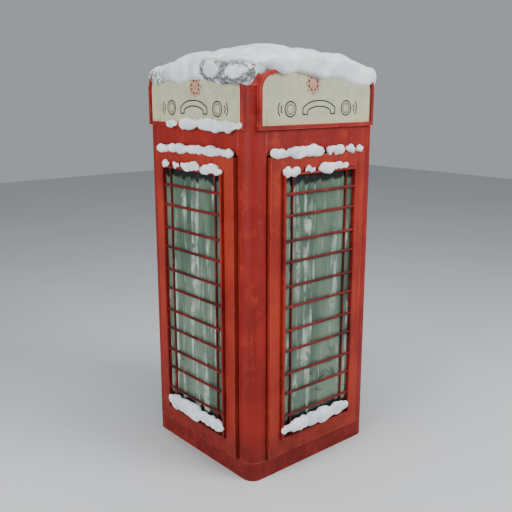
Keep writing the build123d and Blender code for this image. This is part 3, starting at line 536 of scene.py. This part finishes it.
def add_piece(name, parts, finish, body="booth"):
    """One smooth mesh object from several (points, quads, triangles), riding on a body."""
    offset = 0
    points, loops, sizes = [], [], []
    for part_points, quads, fans in parts:
        points.append(part_points)
        loops += [(quads + offset).ravel(), (fans + offset).ravel()]
        sizes += [np.full(len(quads), 4), np.full(len(fans), 3)]
        offset += len(part_points)
    points, loops, sizes = np.concatenate(points), np.concatenate(loops), np.concatenate(sizes)
    mesh = bpy.data.meshes.new(name)
    mesh.vertices.add(len(points))
    mesh.vertices.foreach_set("co", points.astype(np.float32).ravel())
    mesh.loops.add(len(loops))
    mesh.loops.foreach_set("vertex_index", loops.astype(np.int32))
    mesh.polygons.add(len(sizes))
    mesh.polygons.foreach_set("loop_start", (np.cumsum(sizes) - sizes).astype(np.int32))
    mesh.polygons.foreach_set("use_smooth", np.ones(len(sizes), bool))
    mesh.update(calc_edges=True)
    mesh.validate()
    mesh.materials.append(finish.material)
    piece = bpy.data.objects.new(name, mesh)
    bpy.context.scene.collection.objects.link(piece)
    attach(piece, body)
    print(name, len(sizes), "faces")
    return piece


# %% [markdown]
# ## How snow settles
# Snow that has thawed and frozen again is a heap of soft lobes with creases between them. Scatter
# centres over the surface, let each raise a round pillow, and keep the highest: where two pillows
# meet there is a crease. A soft maximum rounds the crease a little.

# %% Pillows
BATCH = 20000
PILLOW_TOP = 1.25


def pillows(points, centres, radius, sharpness=5.0):
    """Soft maximum over centres of 1 minus (distance over radius) squared, which is never below -1."""
    flat = points.reshape(-1, 3)
    height = np.empty(len(flat))
    for start in range(0, len(flat), BATCH):
        piece = flat[start:start + BATCH]
        away = ((piece[:, None, :] - centres[None, :, :]) ** 2).sum(-1) / radius**2
        bump = np.maximum(1 - away, -1)
        height[start:start + BATCH] = np.log(np.exp(sharpness * bump).sum(1)) / sharpness
    return np.minimum(height.reshape(points.shape[:-1]), PILLOW_TOP)


def outward(rings):
    """Unit normals of a grid that closes round its second direction, by central differences."""
    along = np.gradient(rings, axis=0)
    around = np.roll(rings, -1, axis=1) - np.roll(rings, 1, axis=1)
    normal = np.cross(around, along)
    return normal / np.maximum(np.linalg.norm(normal, axis=-1, keepdims=True), 1e-9)


print("pillow at its centre:", round(float(pillows(np.zeros((1, 3)), np.zeros((1, 3)), 0.05)[0]), 2))

# %% [markdown]
# ## Snow's finish
# Old snow is a rough white with blue-grey grit. Where it has slid against the roof it
# is dirty: two blocks on the left side have cracked away, with dark speckled outlines. An outline is
# the band where the distance from a block's middle, made ragged by noise, is near its half width.

# %% Snow recipe
# two blocks of snow that have cracked away on the left side: (y, z) of their middles
BLOCKS = [(-0.211, 2.386), (-0.398, 2.358)]
BLOCK_HALF = 0.090
BLOCK_SQUASH = 0.66


def snow_finish(name, cracks):
    """Blue-white snow with grit; with cracks it also gets dark outlines and dirt on its left side."""
    snow = Finish(name, Roughness=0.85, IOR=1.31, Subsurface_Weight=0.12, Subsurface_Scale=0.02)
    cloud = snow.noise(9.0, 5.0)
    grit = snow.noise(120.0, 6.0, rough=0.7)
    fine = snow.noise(430.0, 3.0)
    colour = snow.blend(cloud.rise(0.38, 0.62), tint(206, 214, 220), tint(232, 236, 238))
    colour = snow.blend(grit.rise(0.60, 0.76) * 0.35, colour, tint(176, 186, 194))
    if cracks:
        left = snow.axis("X").rise(-0.34, -0.45)
        speck = snow.noise(52.0, 8.0, rough=0.75, shift=5.0)
        ragged = snow.noise(26.0, 5.0, rough=0.6, shift=9.0)
        crack = left * 0.0
        for middle_y, middle_z in BLOCKS:
            along = (snow.axis("Y") - middle_y) / BLOCK_HALF
            up = (snow.axis("Z") - middle_z) / (BLOCK_SQUASH * BLOCK_HALF)
            away = (along * along + up * up).root() + 1.5 * (cloud - 0.5) + 0.9 * (ragged - 0.5)
            crack = crack.most(away.rise(0.62, 0.86) * away.rise(1.46, 1.12))
        crack = crack * left * speck.rise(0.35, 0.51) * snow.axis("Z").rise(2.46, 2.40).most(0.35)
        smear = snow.axis("Y").rise(0.18, 0.28) * snow.axis("Z").rise(2.40, 2.36) * left
        colour = snow.blend(crack * 0.9, colour, tint(74, 74, 70))
        colour = snow.blend(smear * speck.rise(0.42, 0.56) * 0.9, colour, tint(104, 102, 95))
        snow.bump(0.6 * cloud + 0.5 * grit + 0.2 * fine - 0.8 * crack, 0.55, 0.006)
    else:
        snow.bump(0.6 * cloud + 0.5 * grit + 0.2 * fine, 0.5, 0.005)
    return snow.feed(Base_Color=colour)


SNOW = snow_finish("settled_snow", False)
ROOF_SNOW = snow_finish("roof_snow", True)
print("two kinds of snow")

# %% [markdown]
# ## The cap on the roof
# The cap follows the roof: four arches that cross, sloping corners between them and a shallow
# dome, so its upper skin is that height plus a depth, or a low mound where that is higher. At the
# edge it rolls over and hangs past the sign rims in a scalloped hem, and underneath it lies on the
# casting. The skin is one grid: rings from the middle underneath, out to the hem, round it and
# back up to the crown. Lumps of three sizes then lift it along its normals.

# %% Height of the bare roof
ROOF_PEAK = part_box("roof_dome")[1].z
ROOF_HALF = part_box("roof_dome")[1].x
RIM_PROUD = 0.006
ARCH_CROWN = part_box("sign_frame_front")[1].z - RIM_PROUD
RIM_FACE = -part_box("sign_frame_front")[0].y
ARCH_RADIUS = 2.0
SHOULDER_START = ROOF_HALF - 0.153
SHOULDER_RADIUS = 0.10
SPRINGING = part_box("corner_post_front_left")[1].z
HIP_SLOPE = 1 / math.tan(math.radians(34.0))
HIP_RISE = 0.105
DOME_RADIUS = 1.02
DOME_FOOT = 0.43


def arch(t):
    """Height of the arch at t from its middle: a wide circle, then a quarter circle at the shoulder."""
    wide = ARCH_CROWN - ARCH_RADIUS + np.sqrt(ARCH_RADIUS**2 - np.minimum(np.abs(t), SHOULDER_START) ** 2)
    past = np.clip(np.abs(t) - SHOULDER_START, 0, SHOULDER_RADIUS)
    height = wide - SHOULDER_RADIUS + np.sqrt(SHOULDER_RADIUS**2 - past**2)
    return np.where(np.abs(t) > SHOULDER_START + SHOULDER_RADIUS, SPRINGING, height)


def bare_roof(x, y):
    """The highest of the two arches, the sloping corners and the dome."""
    edge = np.maximum(np.abs(x), np.abs(y))
    hips = SPRINGING + np.clip((ROOF_HALF - edge) * HIP_SLOPE, 0, HIP_RISE)
    across = np.minimum(x**2 + y**2, DOME_FOOT**2)
    dome = ROOF_PEAK - DOME_RADIUS + np.sqrt(DOME_RADIUS**2 - across)
    dome = np.where(x**2 + y**2 < DOME_FOOT**2, dome, 0)
    return np.maximum(np.maximum(arch(x), arch(y)), np.maximum(hips, dome))


print("roof height at the middle and at a corner:",
      round(float(bare_roof(np.array(0.0), np.array(0.0))), 3),
      round(float(bare_roof(np.array(0.45), np.array(0.45))), 3))

# %% The hem round the four sides
# pairs of (distance round from the front left corner, height of the hem), in metres
FRONT_HEM = [(0.0, 2.294), (0.045, 2.308), (0.089, 2.330), (0.130, 2.362), (0.168, 2.362), (0.240, 2.345),
             (0.313, 2.361), (0.389, 2.352), (0.467, 2.332), (0.547, 2.322), (0.629, 2.333), (0.714, 2.312),
             (0.802, 2.290), (0.873, 2.279), (0.900, 2.296), (0.960, 2.306)]
DOOR_HEM = [(1.0, 2.284), (1.07, 2.322), (1.14, 2.349), (1.23, 2.334), (1.30, 2.356), (1.38, 2.341),
            (1.47, 2.350), (1.56, 2.328), (1.64, 2.343), (1.73, 2.317), (1.82, 2.330), (1.90, 2.296)]
REAR_HEM = [(2.0, 2.286), (2.08, 2.312), (2.16, 2.338), (2.25, 2.321), (2.33, 2.349), (2.42, 2.336),
            (2.50, 2.354), (2.59, 2.330), (2.68, 2.345), (2.77, 2.310), (2.86, 2.322), (2.93, 2.291)]
LEFT_HEM = [(3.0, 2.276), (3.05, 2.296), (3.102, 2.309), (3.157, 2.297), (3.213, 2.314), (3.319, 2.313),
            (3.370, 2.296), (3.472, 2.323), (3.615, 2.321), (3.688, 2.305), (3.751, 2.299), (3.838, 2.314),
            (3.922, 2.306), (3.965, 2.286), (3.985, 2.286)]
HEM = np.array(FRONT_HEM + DOOR_HEM + REAR_HEM + LEFT_HEM)
CAP_AROUND = 720
CAP_CORNER = 7.0
HEM_ROLL = 0.034
HEM_HALF = 0.026
EDGE_ROLL = 0.046
EDGE_RISE = 0.062
FULLNESS = 0.62
RIM_COVER = 0.011
RIM_CLEAR = 0.007

round_cap = np.arange(CAP_AROUND) * 4.0 / CAP_AROUND
side_share = (round_cap % 1.0) * 2 - 1
side_number = np.floor(round_cap).astype(int)
square = np.stack([side_share, -np.ones(CAP_AROUND), np.zeros(CAP_AROUND)], -1)
for number, side in enumerate(("front", "door", "rear", "left")):
    square[side_number == number] = turned(square[side_number == number], side)
pull = (np.abs(square[:, 0]) ** CAP_CORNER + np.abs(square[:, 1]) ** CAP_CORNER) ** (1 / CAP_CORNER)
outline = square[:, :2] / pull[:, None]
hem = np.interp(round_cap, HEM[:, 0], HEM[:, 1], period=4.0)
hem = np.convolve(np.concatenate([hem[-4:], hem, hem[:4]]), np.ones(9) / 9, "valid")
# pairs of (distance round, how far out the edge stands): by the front left corner the snow lies
# behind the rim of the front sign, so its edge steps in there
EDGE_OUT = np.array([(0.0, 0.552), (0.03, 0.520), (0.06, 0.488), (0.13, 0.492),
                     (0.175, 0.534), (3.88, 0.534), (3.93, 0.545), (4.0, 0.552)])
cap_plane = np.interp(round_cap, EDGE_OUT[:, 0], EDGE_OUT[:, 1])
print("hem from", round(hem.min(), 3), "to", round(hem.max(), 3))


# %% Rings of the cap
SINK = 0.003
BANK_START = 0.80
SNOW_DEPTH = 0.034
SMOOTHING = 0.035
MOUND_TOP = 2.489
MOUND_FALL = 0.66
MOUND_MIDDLE = 0.02
MEETING = 90
MEETING_HEIGHT = 2.4


def roof_ring(half, depth):
    """A ring on the bare roof, a given depth above it."""
    x, y = outline[:, 0] * half, outline[:, 1] * half
    return np.stack([x, y, bare_roof(x, y) + depth], -1)


def snow_top(x, y):
    """Soft maximum of the smoothed roof plus a depth, and a mound less a share of radius to the fourth."""
    corners = ((1, 1), (1, -1), (-1, 1), (-1, -1))
    near = [bare_roof(x + a * SMOOTHING, y + b * SMOOTHING) for a, b in corners]
    blanket = sum(near) / 4 + SNOW_DEPTH
    mound = MOUND_TOP - MOUND_FALL * ((x - MOUND_MIDDLE) ** 2 + y**2) ** 2
    both = np.exp(MEETING * (blanket - MEETING_HEIGHT)) + np.exp(MEETING * (mound - MEETING_HEIGHT))
    return np.log(both) / MEETING + MEETING_HEIGHT


under = [roof_ring(half, -SINK) for half in np.linspace(0.04, 0.49, 14)]
edge_x, edge_y = outline[:, 0] * (cap_plane - EDGE_ROLL), outline[:, 1] * (cap_plane - EDGE_ROLL)
edge_top = np.maximum(snow_top(edge_x, edge_y), hem + EDGE_RISE)
turn_z = hem + HEM_HALF
rolled = []
for angle in np.radians(np.linspace(-85, 0, 7)):
    inset = cap_plane - HEM_ROLL * (1 - math.cos(angle))
    height = turn_z + HEM_HALF * math.sin(angle)
    rolled.append(np.stack([outline[:, 0] * inset, outline[:, 1] * inset, height], -1))
for angle in np.radians(np.linspace(4, 90, 15)):
    inset = cap_plane - EDGE_ROLL * (1 - math.cos(angle) ** FULLNESS)
    height = turn_z + (edge_top - turn_z) * math.sin(angle) ** FULLNESS
    rolled.append(np.stack([outline[:, 0] * inset, outline[:, 1] * inset, height], -1))
upper = []
for share in np.linspace(1, 0.025, 46)[1:]:
    x, y = edge_x * share, edge_y * share
    settle = np.clip((share - BANK_START) / (1 - BANK_START), 0, 1) ** 2
    upper.append(np.stack([x, y, snow_top(x, y) * (1 - settle) + edge_top * settle], -1))
cap_rings = np.array(under + rolled + upper)
print("cap grid", cap_rings.shape)

# %% Lobes on the cap
# each size of lump: how many, its radius, how far it lifts the skin, and the height that lifts nothing
LUMPS = ((170, 0.085, 0.023, 0.5), (700, 0.036, 0.004, 0.4), (34, 0.17, 0.020, 0.75))
BLOCK_RADIUS = 0.085
BLOCK_LIFT = 0.012
GABLE_START = 0.40
HEM_RINGS = 9
TOP_ALLOWANCE = 0.004
SIDE_MARGIN = 0.001
OVER_FACE = 0.004

draw = np.random.default_rng(7)
on_skin = cap_rings[len(under):].reshape(-1, 3)
lift = np.zeros(cap_rings.shape[:2])
for count, radius, height, level in LUMPS:
    centres = on_skin[draw.integers(0, len(on_skin), count)]
    lift += height * (pillows(cap_rings, centres, radius) - level)
block_centres = np.array([(-cap_plane.max(), y, z) for y, z in BLOCKS])
lift += BLOCK_LIFT * np.clip(pillows(cap_rings, block_centres, BLOCK_RADIUS), 0, 1)
# the underside stays where it lies, and the roll at the edge never sinks behind the faces of the rims
lift[:len(under)] = 0
rim_zone = slice(len(under), len(under) + len(rolled))
lift[rim_zone] = np.maximum(lift[rim_zone], -RIM_CLEAR)
lift[len(under):len(under) + 3] *= np.array([0.2, 0.5, 0.8])[:, None]
cap_rings = cap_rings + outward(cap_rings) * lift[..., None]
limit = cad_high.x - SIDE_MARGIN
cap_rings[..., :2] = np.clip(cap_rings[..., :2], -limit, limit)
# where the snow lies over a rim it covers the rim by a set depth
cap_x, cap_y = cap_rings[..., 0], cap_rings[..., 1]
front_arch = np.where(np.abs(cap_y) > GABLE_START, arch(cap_x), 0)
side_arch = np.where(np.abs(cap_x) > GABLE_START, arch(cap_y), 0)
covered = np.maximum(front_arch, side_arch) + RIM_PROUD + RIM_COVER
above_hem = np.arange(len(cap_rings)) >= len(under) + HEM_RINGS
over_rim = above_hem[:, None] & (np.maximum(np.abs(cap_x), np.abs(cap_y)) < RIM_FACE + OVER_FACE)
cap_rings[..., 2] = np.where(over_rim, np.maximum(cap_rings[..., 2], covered), cap_rings[..., 2])
cap_rings[..., 2] = np.minimum(cap_rings[..., 2], cad_high.z + TOP_ALLOWANCE)
cap_ends = (0, 0, ROOF_PEAK - SINK), (0, 0, cap_rings[-1, :, 2].mean())
cap = add_piece("snow_cap", [skin(cap_rings, *cap_ends)], ROOF_SNOW)
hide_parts("snow_roof")
print("cap top", round(float(cap_rings[..., 2].max()), 3))

# %% [markdown]
# ## Drifts on the ledges
# On each ledge the snow has broken into rolls and blobs that overhang the front. A drift is a
# tube along the ledge: its cross section is a squarish oval, its size swells and shrinks at
# random, a few narrow creases cut into it, and it rounds off at both ends.

# %% One drift
DRIFT_SIDES = 30
KNOT_SPACING = 0.038
CREASE_SPACING = 0.13
CREASE_HALF = 0.013
PUFF_RADIUS = 0.024
PUFF_LIFT = 0.007


def drift(run, plane, middle, radii, seed, wander=0.009, back=0.0):
    """Rings along a run: an oval of the given radii that swells, creases and rounds off at its ends.

    The size at a place is the square root of 1 minus (1 minus the share of the way in from the
    end) squared, times a smoothed random swell, times 1 minus the deepest crease near it. Nothing
    reaches further in than the distance back from the middle of the booth.
    """
    chance = np.random.default_rng(seed)
    low, high = run
    count = max(14, int((high - low) / 0.006))
    share = (1 - np.cos(np.linspace(0.02, math.pi - 0.02, count))) / 2
    place = low + (high - low) * (0.55 * share + 0.45 * np.linspace(0.002, 0.998, count))
    knots = np.linspace(low, high, max(3, int((high - low) / KNOT_SPACING)))
    swell = np.interp(place, knots, chance.uniform(0.58, 1.10, len(knots)))
    swell = np.convolve(np.pad(swell, 3, "edge"), np.ones(7) / 7, "valid")
    creases = chance.uniform(low, high, max(1, int((high - low) / CREASE_SPACING)))
    depths = chance.uniform(0.12, 0.34, len(creases))
    crease = (depths * np.exp(-((place[:, None] - creases) ** 2) / CREASE_HALF**2)).max(1)
    end = np.clip(np.minimum(place - low, high - place) / (1.7 * radii[1]), 0, 1)
    size = np.sqrt(np.maximum(1 - (1 - end) ** 2, 0.002)) * swell * (1 - crease)
    angle = np.linspace(0, 2 * math.pi, DRIFT_SIDES, endpoint=False)
    out = np.sign(np.cos(angle)) * np.abs(np.cos(angle)) ** 0.8
    up = np.sign(np.sin(angle)) * np.abs(np.sin(angle)) ** 0.9
    sway = np.interp(place, np.linspace(low, high, 7), chance.uniform(-wander, wander, 7))
    rings = np.empty((count, DRIFT_SIDES, 3))
    rings[..., 0] = place[:, None]
    rings[..., 1] = -(plane + radii[0] * size[:, None] * out)
    rings[..., 2] = middle + sway[:, None] + radii[1] * size[:, None] * up
    seeds = rings.reshape(-1, 3)[chance.integers(0, count * DRIFT_SIDES, max(8, count // 2))]
    puff = pillows(rings, seeds, PUFF_RADIUS)
    rings = rings + outward(rings) * (PUFF_LIFT * (puff - 0.5) * end[:, None])[..., None]
    rings[..., 1] = np.minimum(rings[..., 1], -back)
    first = (low, -plane, middle + sway[0])
    last = (high, -plane, middle + sway[-1])
    return skin(rings, first, last)


def on_side(parts, side):
    """Parts made on the front side, carried to another side."""
    return [(turned(points, side), quads, fans) for points, quads, fans in parts]


PANEL_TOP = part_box("front_window_frame")[1].z
PANEL_FACE = -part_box("front_window_frame")[0].y
MOULDING_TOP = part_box("front_window_trim")[1].z
MOULDING_FACE = -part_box("front_window_trim")[0].y
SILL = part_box("front_window_glass")[0].z + 0.013
SIGN_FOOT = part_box("sign_frame_left")[0].z
GLASS_FACE = -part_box("front_window_glass")[0].y
print("ledges at z", [round(v, 3) for v in (SILL, MOULDING_TOP, PANEL_TOP, SIGN_FOOT)])


# %% Every drift in its place
def ledge_drifts(panel_runs, moulding_runs, sill_run, seed):
    """The drifts of one side: panel top, moulding top, and a tall bank on the sill."""
    made = []
    for number, run in enumerate(panel_runs, seed):
        made.append(drift(run, PANEL_FACE - 0.004, PANEL_TOP + 0.015, (0.023, 0.031), number))
    for number, run in enumerate(moulding_runs, seed + 10):
        made.append(drift(run, MOULDING_FACE - 0.007, MOULDING_TOP + 0.009, (0.020, 0.029), number))
    made.append(drift(sill_run, MOULDING_FACE - 0.004, SILL + 0.056, (0.024, 0.048), seed + 20, 0.004,
                      GLASS_FACE + 0.001))
    return made


front_parts = ledge_drifts([(-0.379, 0.036), (0.052, 0.204), (0.213, 0.292), (0.301, 0.373)],
                           [(-0.302, -0.173), (-0.135, -0.055), (-0.031, 0.222)], (-0.300, 0.284), 100)
front_ledges = add_piece("snow_on_front_ledges", front_parts, SNOW)
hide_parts("snow_front_ledges")
left_parts = ledge_drifts([(-0.368, 0.379)],
                          [(-0.286, -0.218), (-0.175, -0.112), (-0.092, 0.089), (0.098, 0.301)],
                          (-0.290, 0.295), 200)
left_ledges = add_piece("snow_on_left_ledges", on_side(left_parts, "left"), SNOW)
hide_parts("snow_left_ledges")
SIGN_LEDGE = 0.522
sign_parts = [drift((-0.260, -0.144), SIGN_LEDGE, SIGN_FOOT + 0.018, (0.018, 0.027), 301),
              drift((-0.123, 0.453), SIGN_LEDGE, SIGN_FOOT + 0.019, (0.019, 0.033), 302)]
sign_ledge = add_piece("snow_on_sign_ledge", on_side(sign_parts, "left"), SNOW)
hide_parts("snow_sign_ledge")

# %% [markdown]
# ## Marks on the signs
# Each sign carries thin black line drawings in place of words: a handset between two dials, and
# sound waves beside them, with a plain faded rosette above. A line is a ribbon: the points of a
# path, moved to both sides along its normal, a hair in front of the sheet.

# %% Ribbons
SIGN_FACE = -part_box("sign_panel_front")[0].y + 0.0006
LINE_HALF = 0.0038


def ribbon(path, half=LINE_HALF, closed=False):
    """Points at path plus and minus half along the path's normal, with quads between them."""
    path = np.asarray(path, float)
    if closed:
        ahead = np.roll(path, -1, axis=0) - np.roll(path, 1, axis=0)
    else:
        ahead = np.gradient(path, axis=0)
    ahead /= np.maximum(np.linalg.norm(ahead, axis=1, keepdims=True), 1e-9)
    normal = np.stack([-ahead[:, 1], ahead[:, 0]], -1)
    flat = np.concatenate([path + half * normal, path - half * normal])
    points = np.stack([flat[:, 0], np.full(len(flat), -SIGN_FACE), flat[:, 1]], -1)
    count = len(path)
    i = np.arange(count if closed else count - 1)
    j = (i + 1) % count
    quads = np.stack([i, count + i, count + j, j], -1)
    return points, quads, np.zeros((0, 3), int)


def arc(x, z, radius, start, end, count=40):
    """Points on a circle between two angles in degrees."""
    angle = np.radians(np.linspace(start, end, count))
    return np.stack([x + radius * np.cos(angle), z + radius * np.sin(angle)], -1)


def handset_line(x, z, half, rise):
    """A closed handset outline: a superellipse bow on top and two square cups below its ends."""
    top = np.linspace(-1, 1, 61)
    bow = np.stack([top * half, rise * (1 - np.abs(top) ** 2.6)], -1)
    cup = half * 0.30
    inner = np.linspace(1, -1, 41)
    hollow = np.stack([inner * (half - cup), rise * 0.52 * (1 - np.abs(inner) ** 2.2) - rise * 0.30], -1)
    right = np.array([[half, -rise * 0.85], [half - cup * 0.92, -rise * 0.85]])
    left = np.array([[-half + cup * 0.92, -rise * 0.85], [-half, -rise * 0.85]])
    outline = np.concatenate([bow, right, hollow, left])
    return outline + (x, z)


def densify(path, step=0.004):
    """The same closed path with points at even steps along it."""
    loop = np.concatenate([path, path[:1]])
    length = np.concatenate([[0], np.cumsum(np.linalg.norm(np.diff(loop, axis=0), axis=1))])
    even = np.arange(0, length[-1], step)
    return np.stack([np.interp(even, length, loop[:, 0]), np.interp(even, length, loop[:, 1])], -1)


MARK_MIDDLE = 2.166
DIAL_ACROSS = 0.222
DIAL_RADIUS = 0.041
HOLE_RING = 0.026
HOLE_RADIUS = 0.0042
HOLE_LINE = 0.0016
WAVE_ACROSS = 0.262
WAVE_HALF_ANGLE = 42

marks = [ribbon(densify(handset_line(0, MARK_MIDDLE + 0.004, 0.128, 0.040)), closed=True)]
for sign in (-1, 1):
    marks.append(ribbon(arc(sign * DIAL_ACROSS, MARK_MIDDLE, DIAL_RADIUS, 0, 354, 60), closed=True))
    for step in range(10):
        spot = arc(sign * DIAL_ACROSS, MARK_MIDDLE, HOLE_RING, 36 * step, 36 * step, 1)[0]
        marks.append(ribbon(arc(*spot, HOLE_RADIUS, 0, 330, 12), HOLE_LINE, closed=True))
    for radius in (0.030, 0.052):
        middle = 0 if sign > 0 else 180
        ends = middle - WAVE_HALF_ANGLE, middle + WAVE_HALF_ANGLE
        marks.append(ribbon(arc(sign * WAVE_ACROSS, MARK_MIDDLE, radius, *ends)))
print(len(marks), "ribbons on a sign")


# %% Rosette
# each ring of the rosette: its radius, half the width of its line, and its number of points
ROSETTE_RINGS = ((0.034, 0.0048, 60), (0.023, 0.0034, 40), (0.010, 0.0056, 30))
PETALS = 8
PETAL_LINE = 0.0052


def rosette(x, z):
    """Three rings and a petal line whose radius is a mean plus a wave of eight periods."""
    angle = np.linspace(0, 2 * math.pi, 160, endpoint=False)
    lines = [ribbon(arc(x, z, radius, 0, 354, count), half, closed=True)
             for radius, half, count in ROSETTE_RINGS]
    petal = 0.046 + 0.010 * np.cos(PETALS * angle)
    path = np.stack([x + petal * np.cos(angle), z + petal * np.sin(angle)], -1)
    return lines + [ribbon(path, PETAL_LINE, closed=True)]


ink = Finish("sign_black_line", Roughness=0.55)
fading = ink.noise(70.0, 6.0, rough=0.7)
ink.feed(Base_Color=ink.blend(fading.rise(0.55, 0.75), tint(22, 20, 20), tint(70, 62, 54)))
ink.bump(fading, 0.1, 0.0003)
faded = Finish("sign_faded_line", Roughness=0.6)
wash = faded.noise(55.0, 6.0, rough=0.7)
faded.feed(Base_Color=faded.blend(wash.rise(0.4, 0.65), tint(172, 102, 82), tint(196, 150, 124)))
faded.bump(wash, 0.1, 0.0003)
mark_parts, rosette_parts = [], []
ROSETTE_PLACES = {"front": (-0.05, 2.302), "door": (0, 2.300), "rear": (0, 2.300), "left": (0.02, 2.284)}
for side, (across, height) in ROSETTE_PLACES.items():
    mark_parts += on_side(marks, side)
    rosette_parts += on_side(rosette(across, height), side)
add_piece("sign_marks", mark_parts, ink)
add_piece("sign_rosettes", rosette_parts, faded)

# %% [markdown]
# ## Digits on the dial
# The enamel dial carries the digits 1 to 0, seen through the finger holes. Blender's own letters
# are turned into a mesh, then moved to their places as an array, so that nothing stays unapplied.

# %% Ten digits
WHEEL_LOW, WHEEL_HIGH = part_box("finger_wheel")
DIAL_MIDDLE = (WHEEL_LOW.z + WHEEL_HIGH.z) / 2
PLATE_THICK = 0.007
PLATE_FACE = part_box("dial_plate")[1].y - PLATE_THICK
DIGIT_RING = 0.032
DIGIT_SIZE = 0.0095
DIGIT_PROUD = 0.0002
FIRST_DIGIT_ANGLE = 75.0
DIGIT_STEP = 30.0
digit_parts = []
for number in range(10):
    letter = bpy.data.curves.new("digit", "FONT")
    letter.body = str((number + 1) % 10)
    letter.align_x, letter.align_y = "CENTER", "CENTER"
    holder = bpy.data.objects.new("digit", letter)
    shape = bpy.data.meshes.new_from_object(holder)
    flat = np.empty(len(shape.vertices) * 3, np.float32)
    shape.vertices.foreach_get("co", flat)
    flat = flat.reshape(-1, 3) * DIGIT_SIZE
    shape.calc_loop_triangles()
    triangles = np.empty(len(shape.loop_triangles) * 3, np.int32)
    shape.loop_triangles.foreach_get("vertices", triangles)
    angle = math.radians(FIRST_DIGIT_ANGLE + DIGIT_STEP * number)
    x = flat[:, 0] + DIGIT_RING * math.cos(angle)
    z = flat[:, 1] + DIAL_MIDDLE + DIGIT_RING * math.sin(angle)
    points = np.stack([x, np.full(len(x), PLATE_FACE - DIGIT_PROUD), z], -1)
    digit_parts.append((points, np.zeros((0, 4), int), triangles.reshape(-1, 3)))
    bpy.data.objects.remove(holder)
    bpy.data.curves.remove(letter)
    bpy.data.meshes.remove(shape)
add_piece("dial_digits", digit_parts, ink)
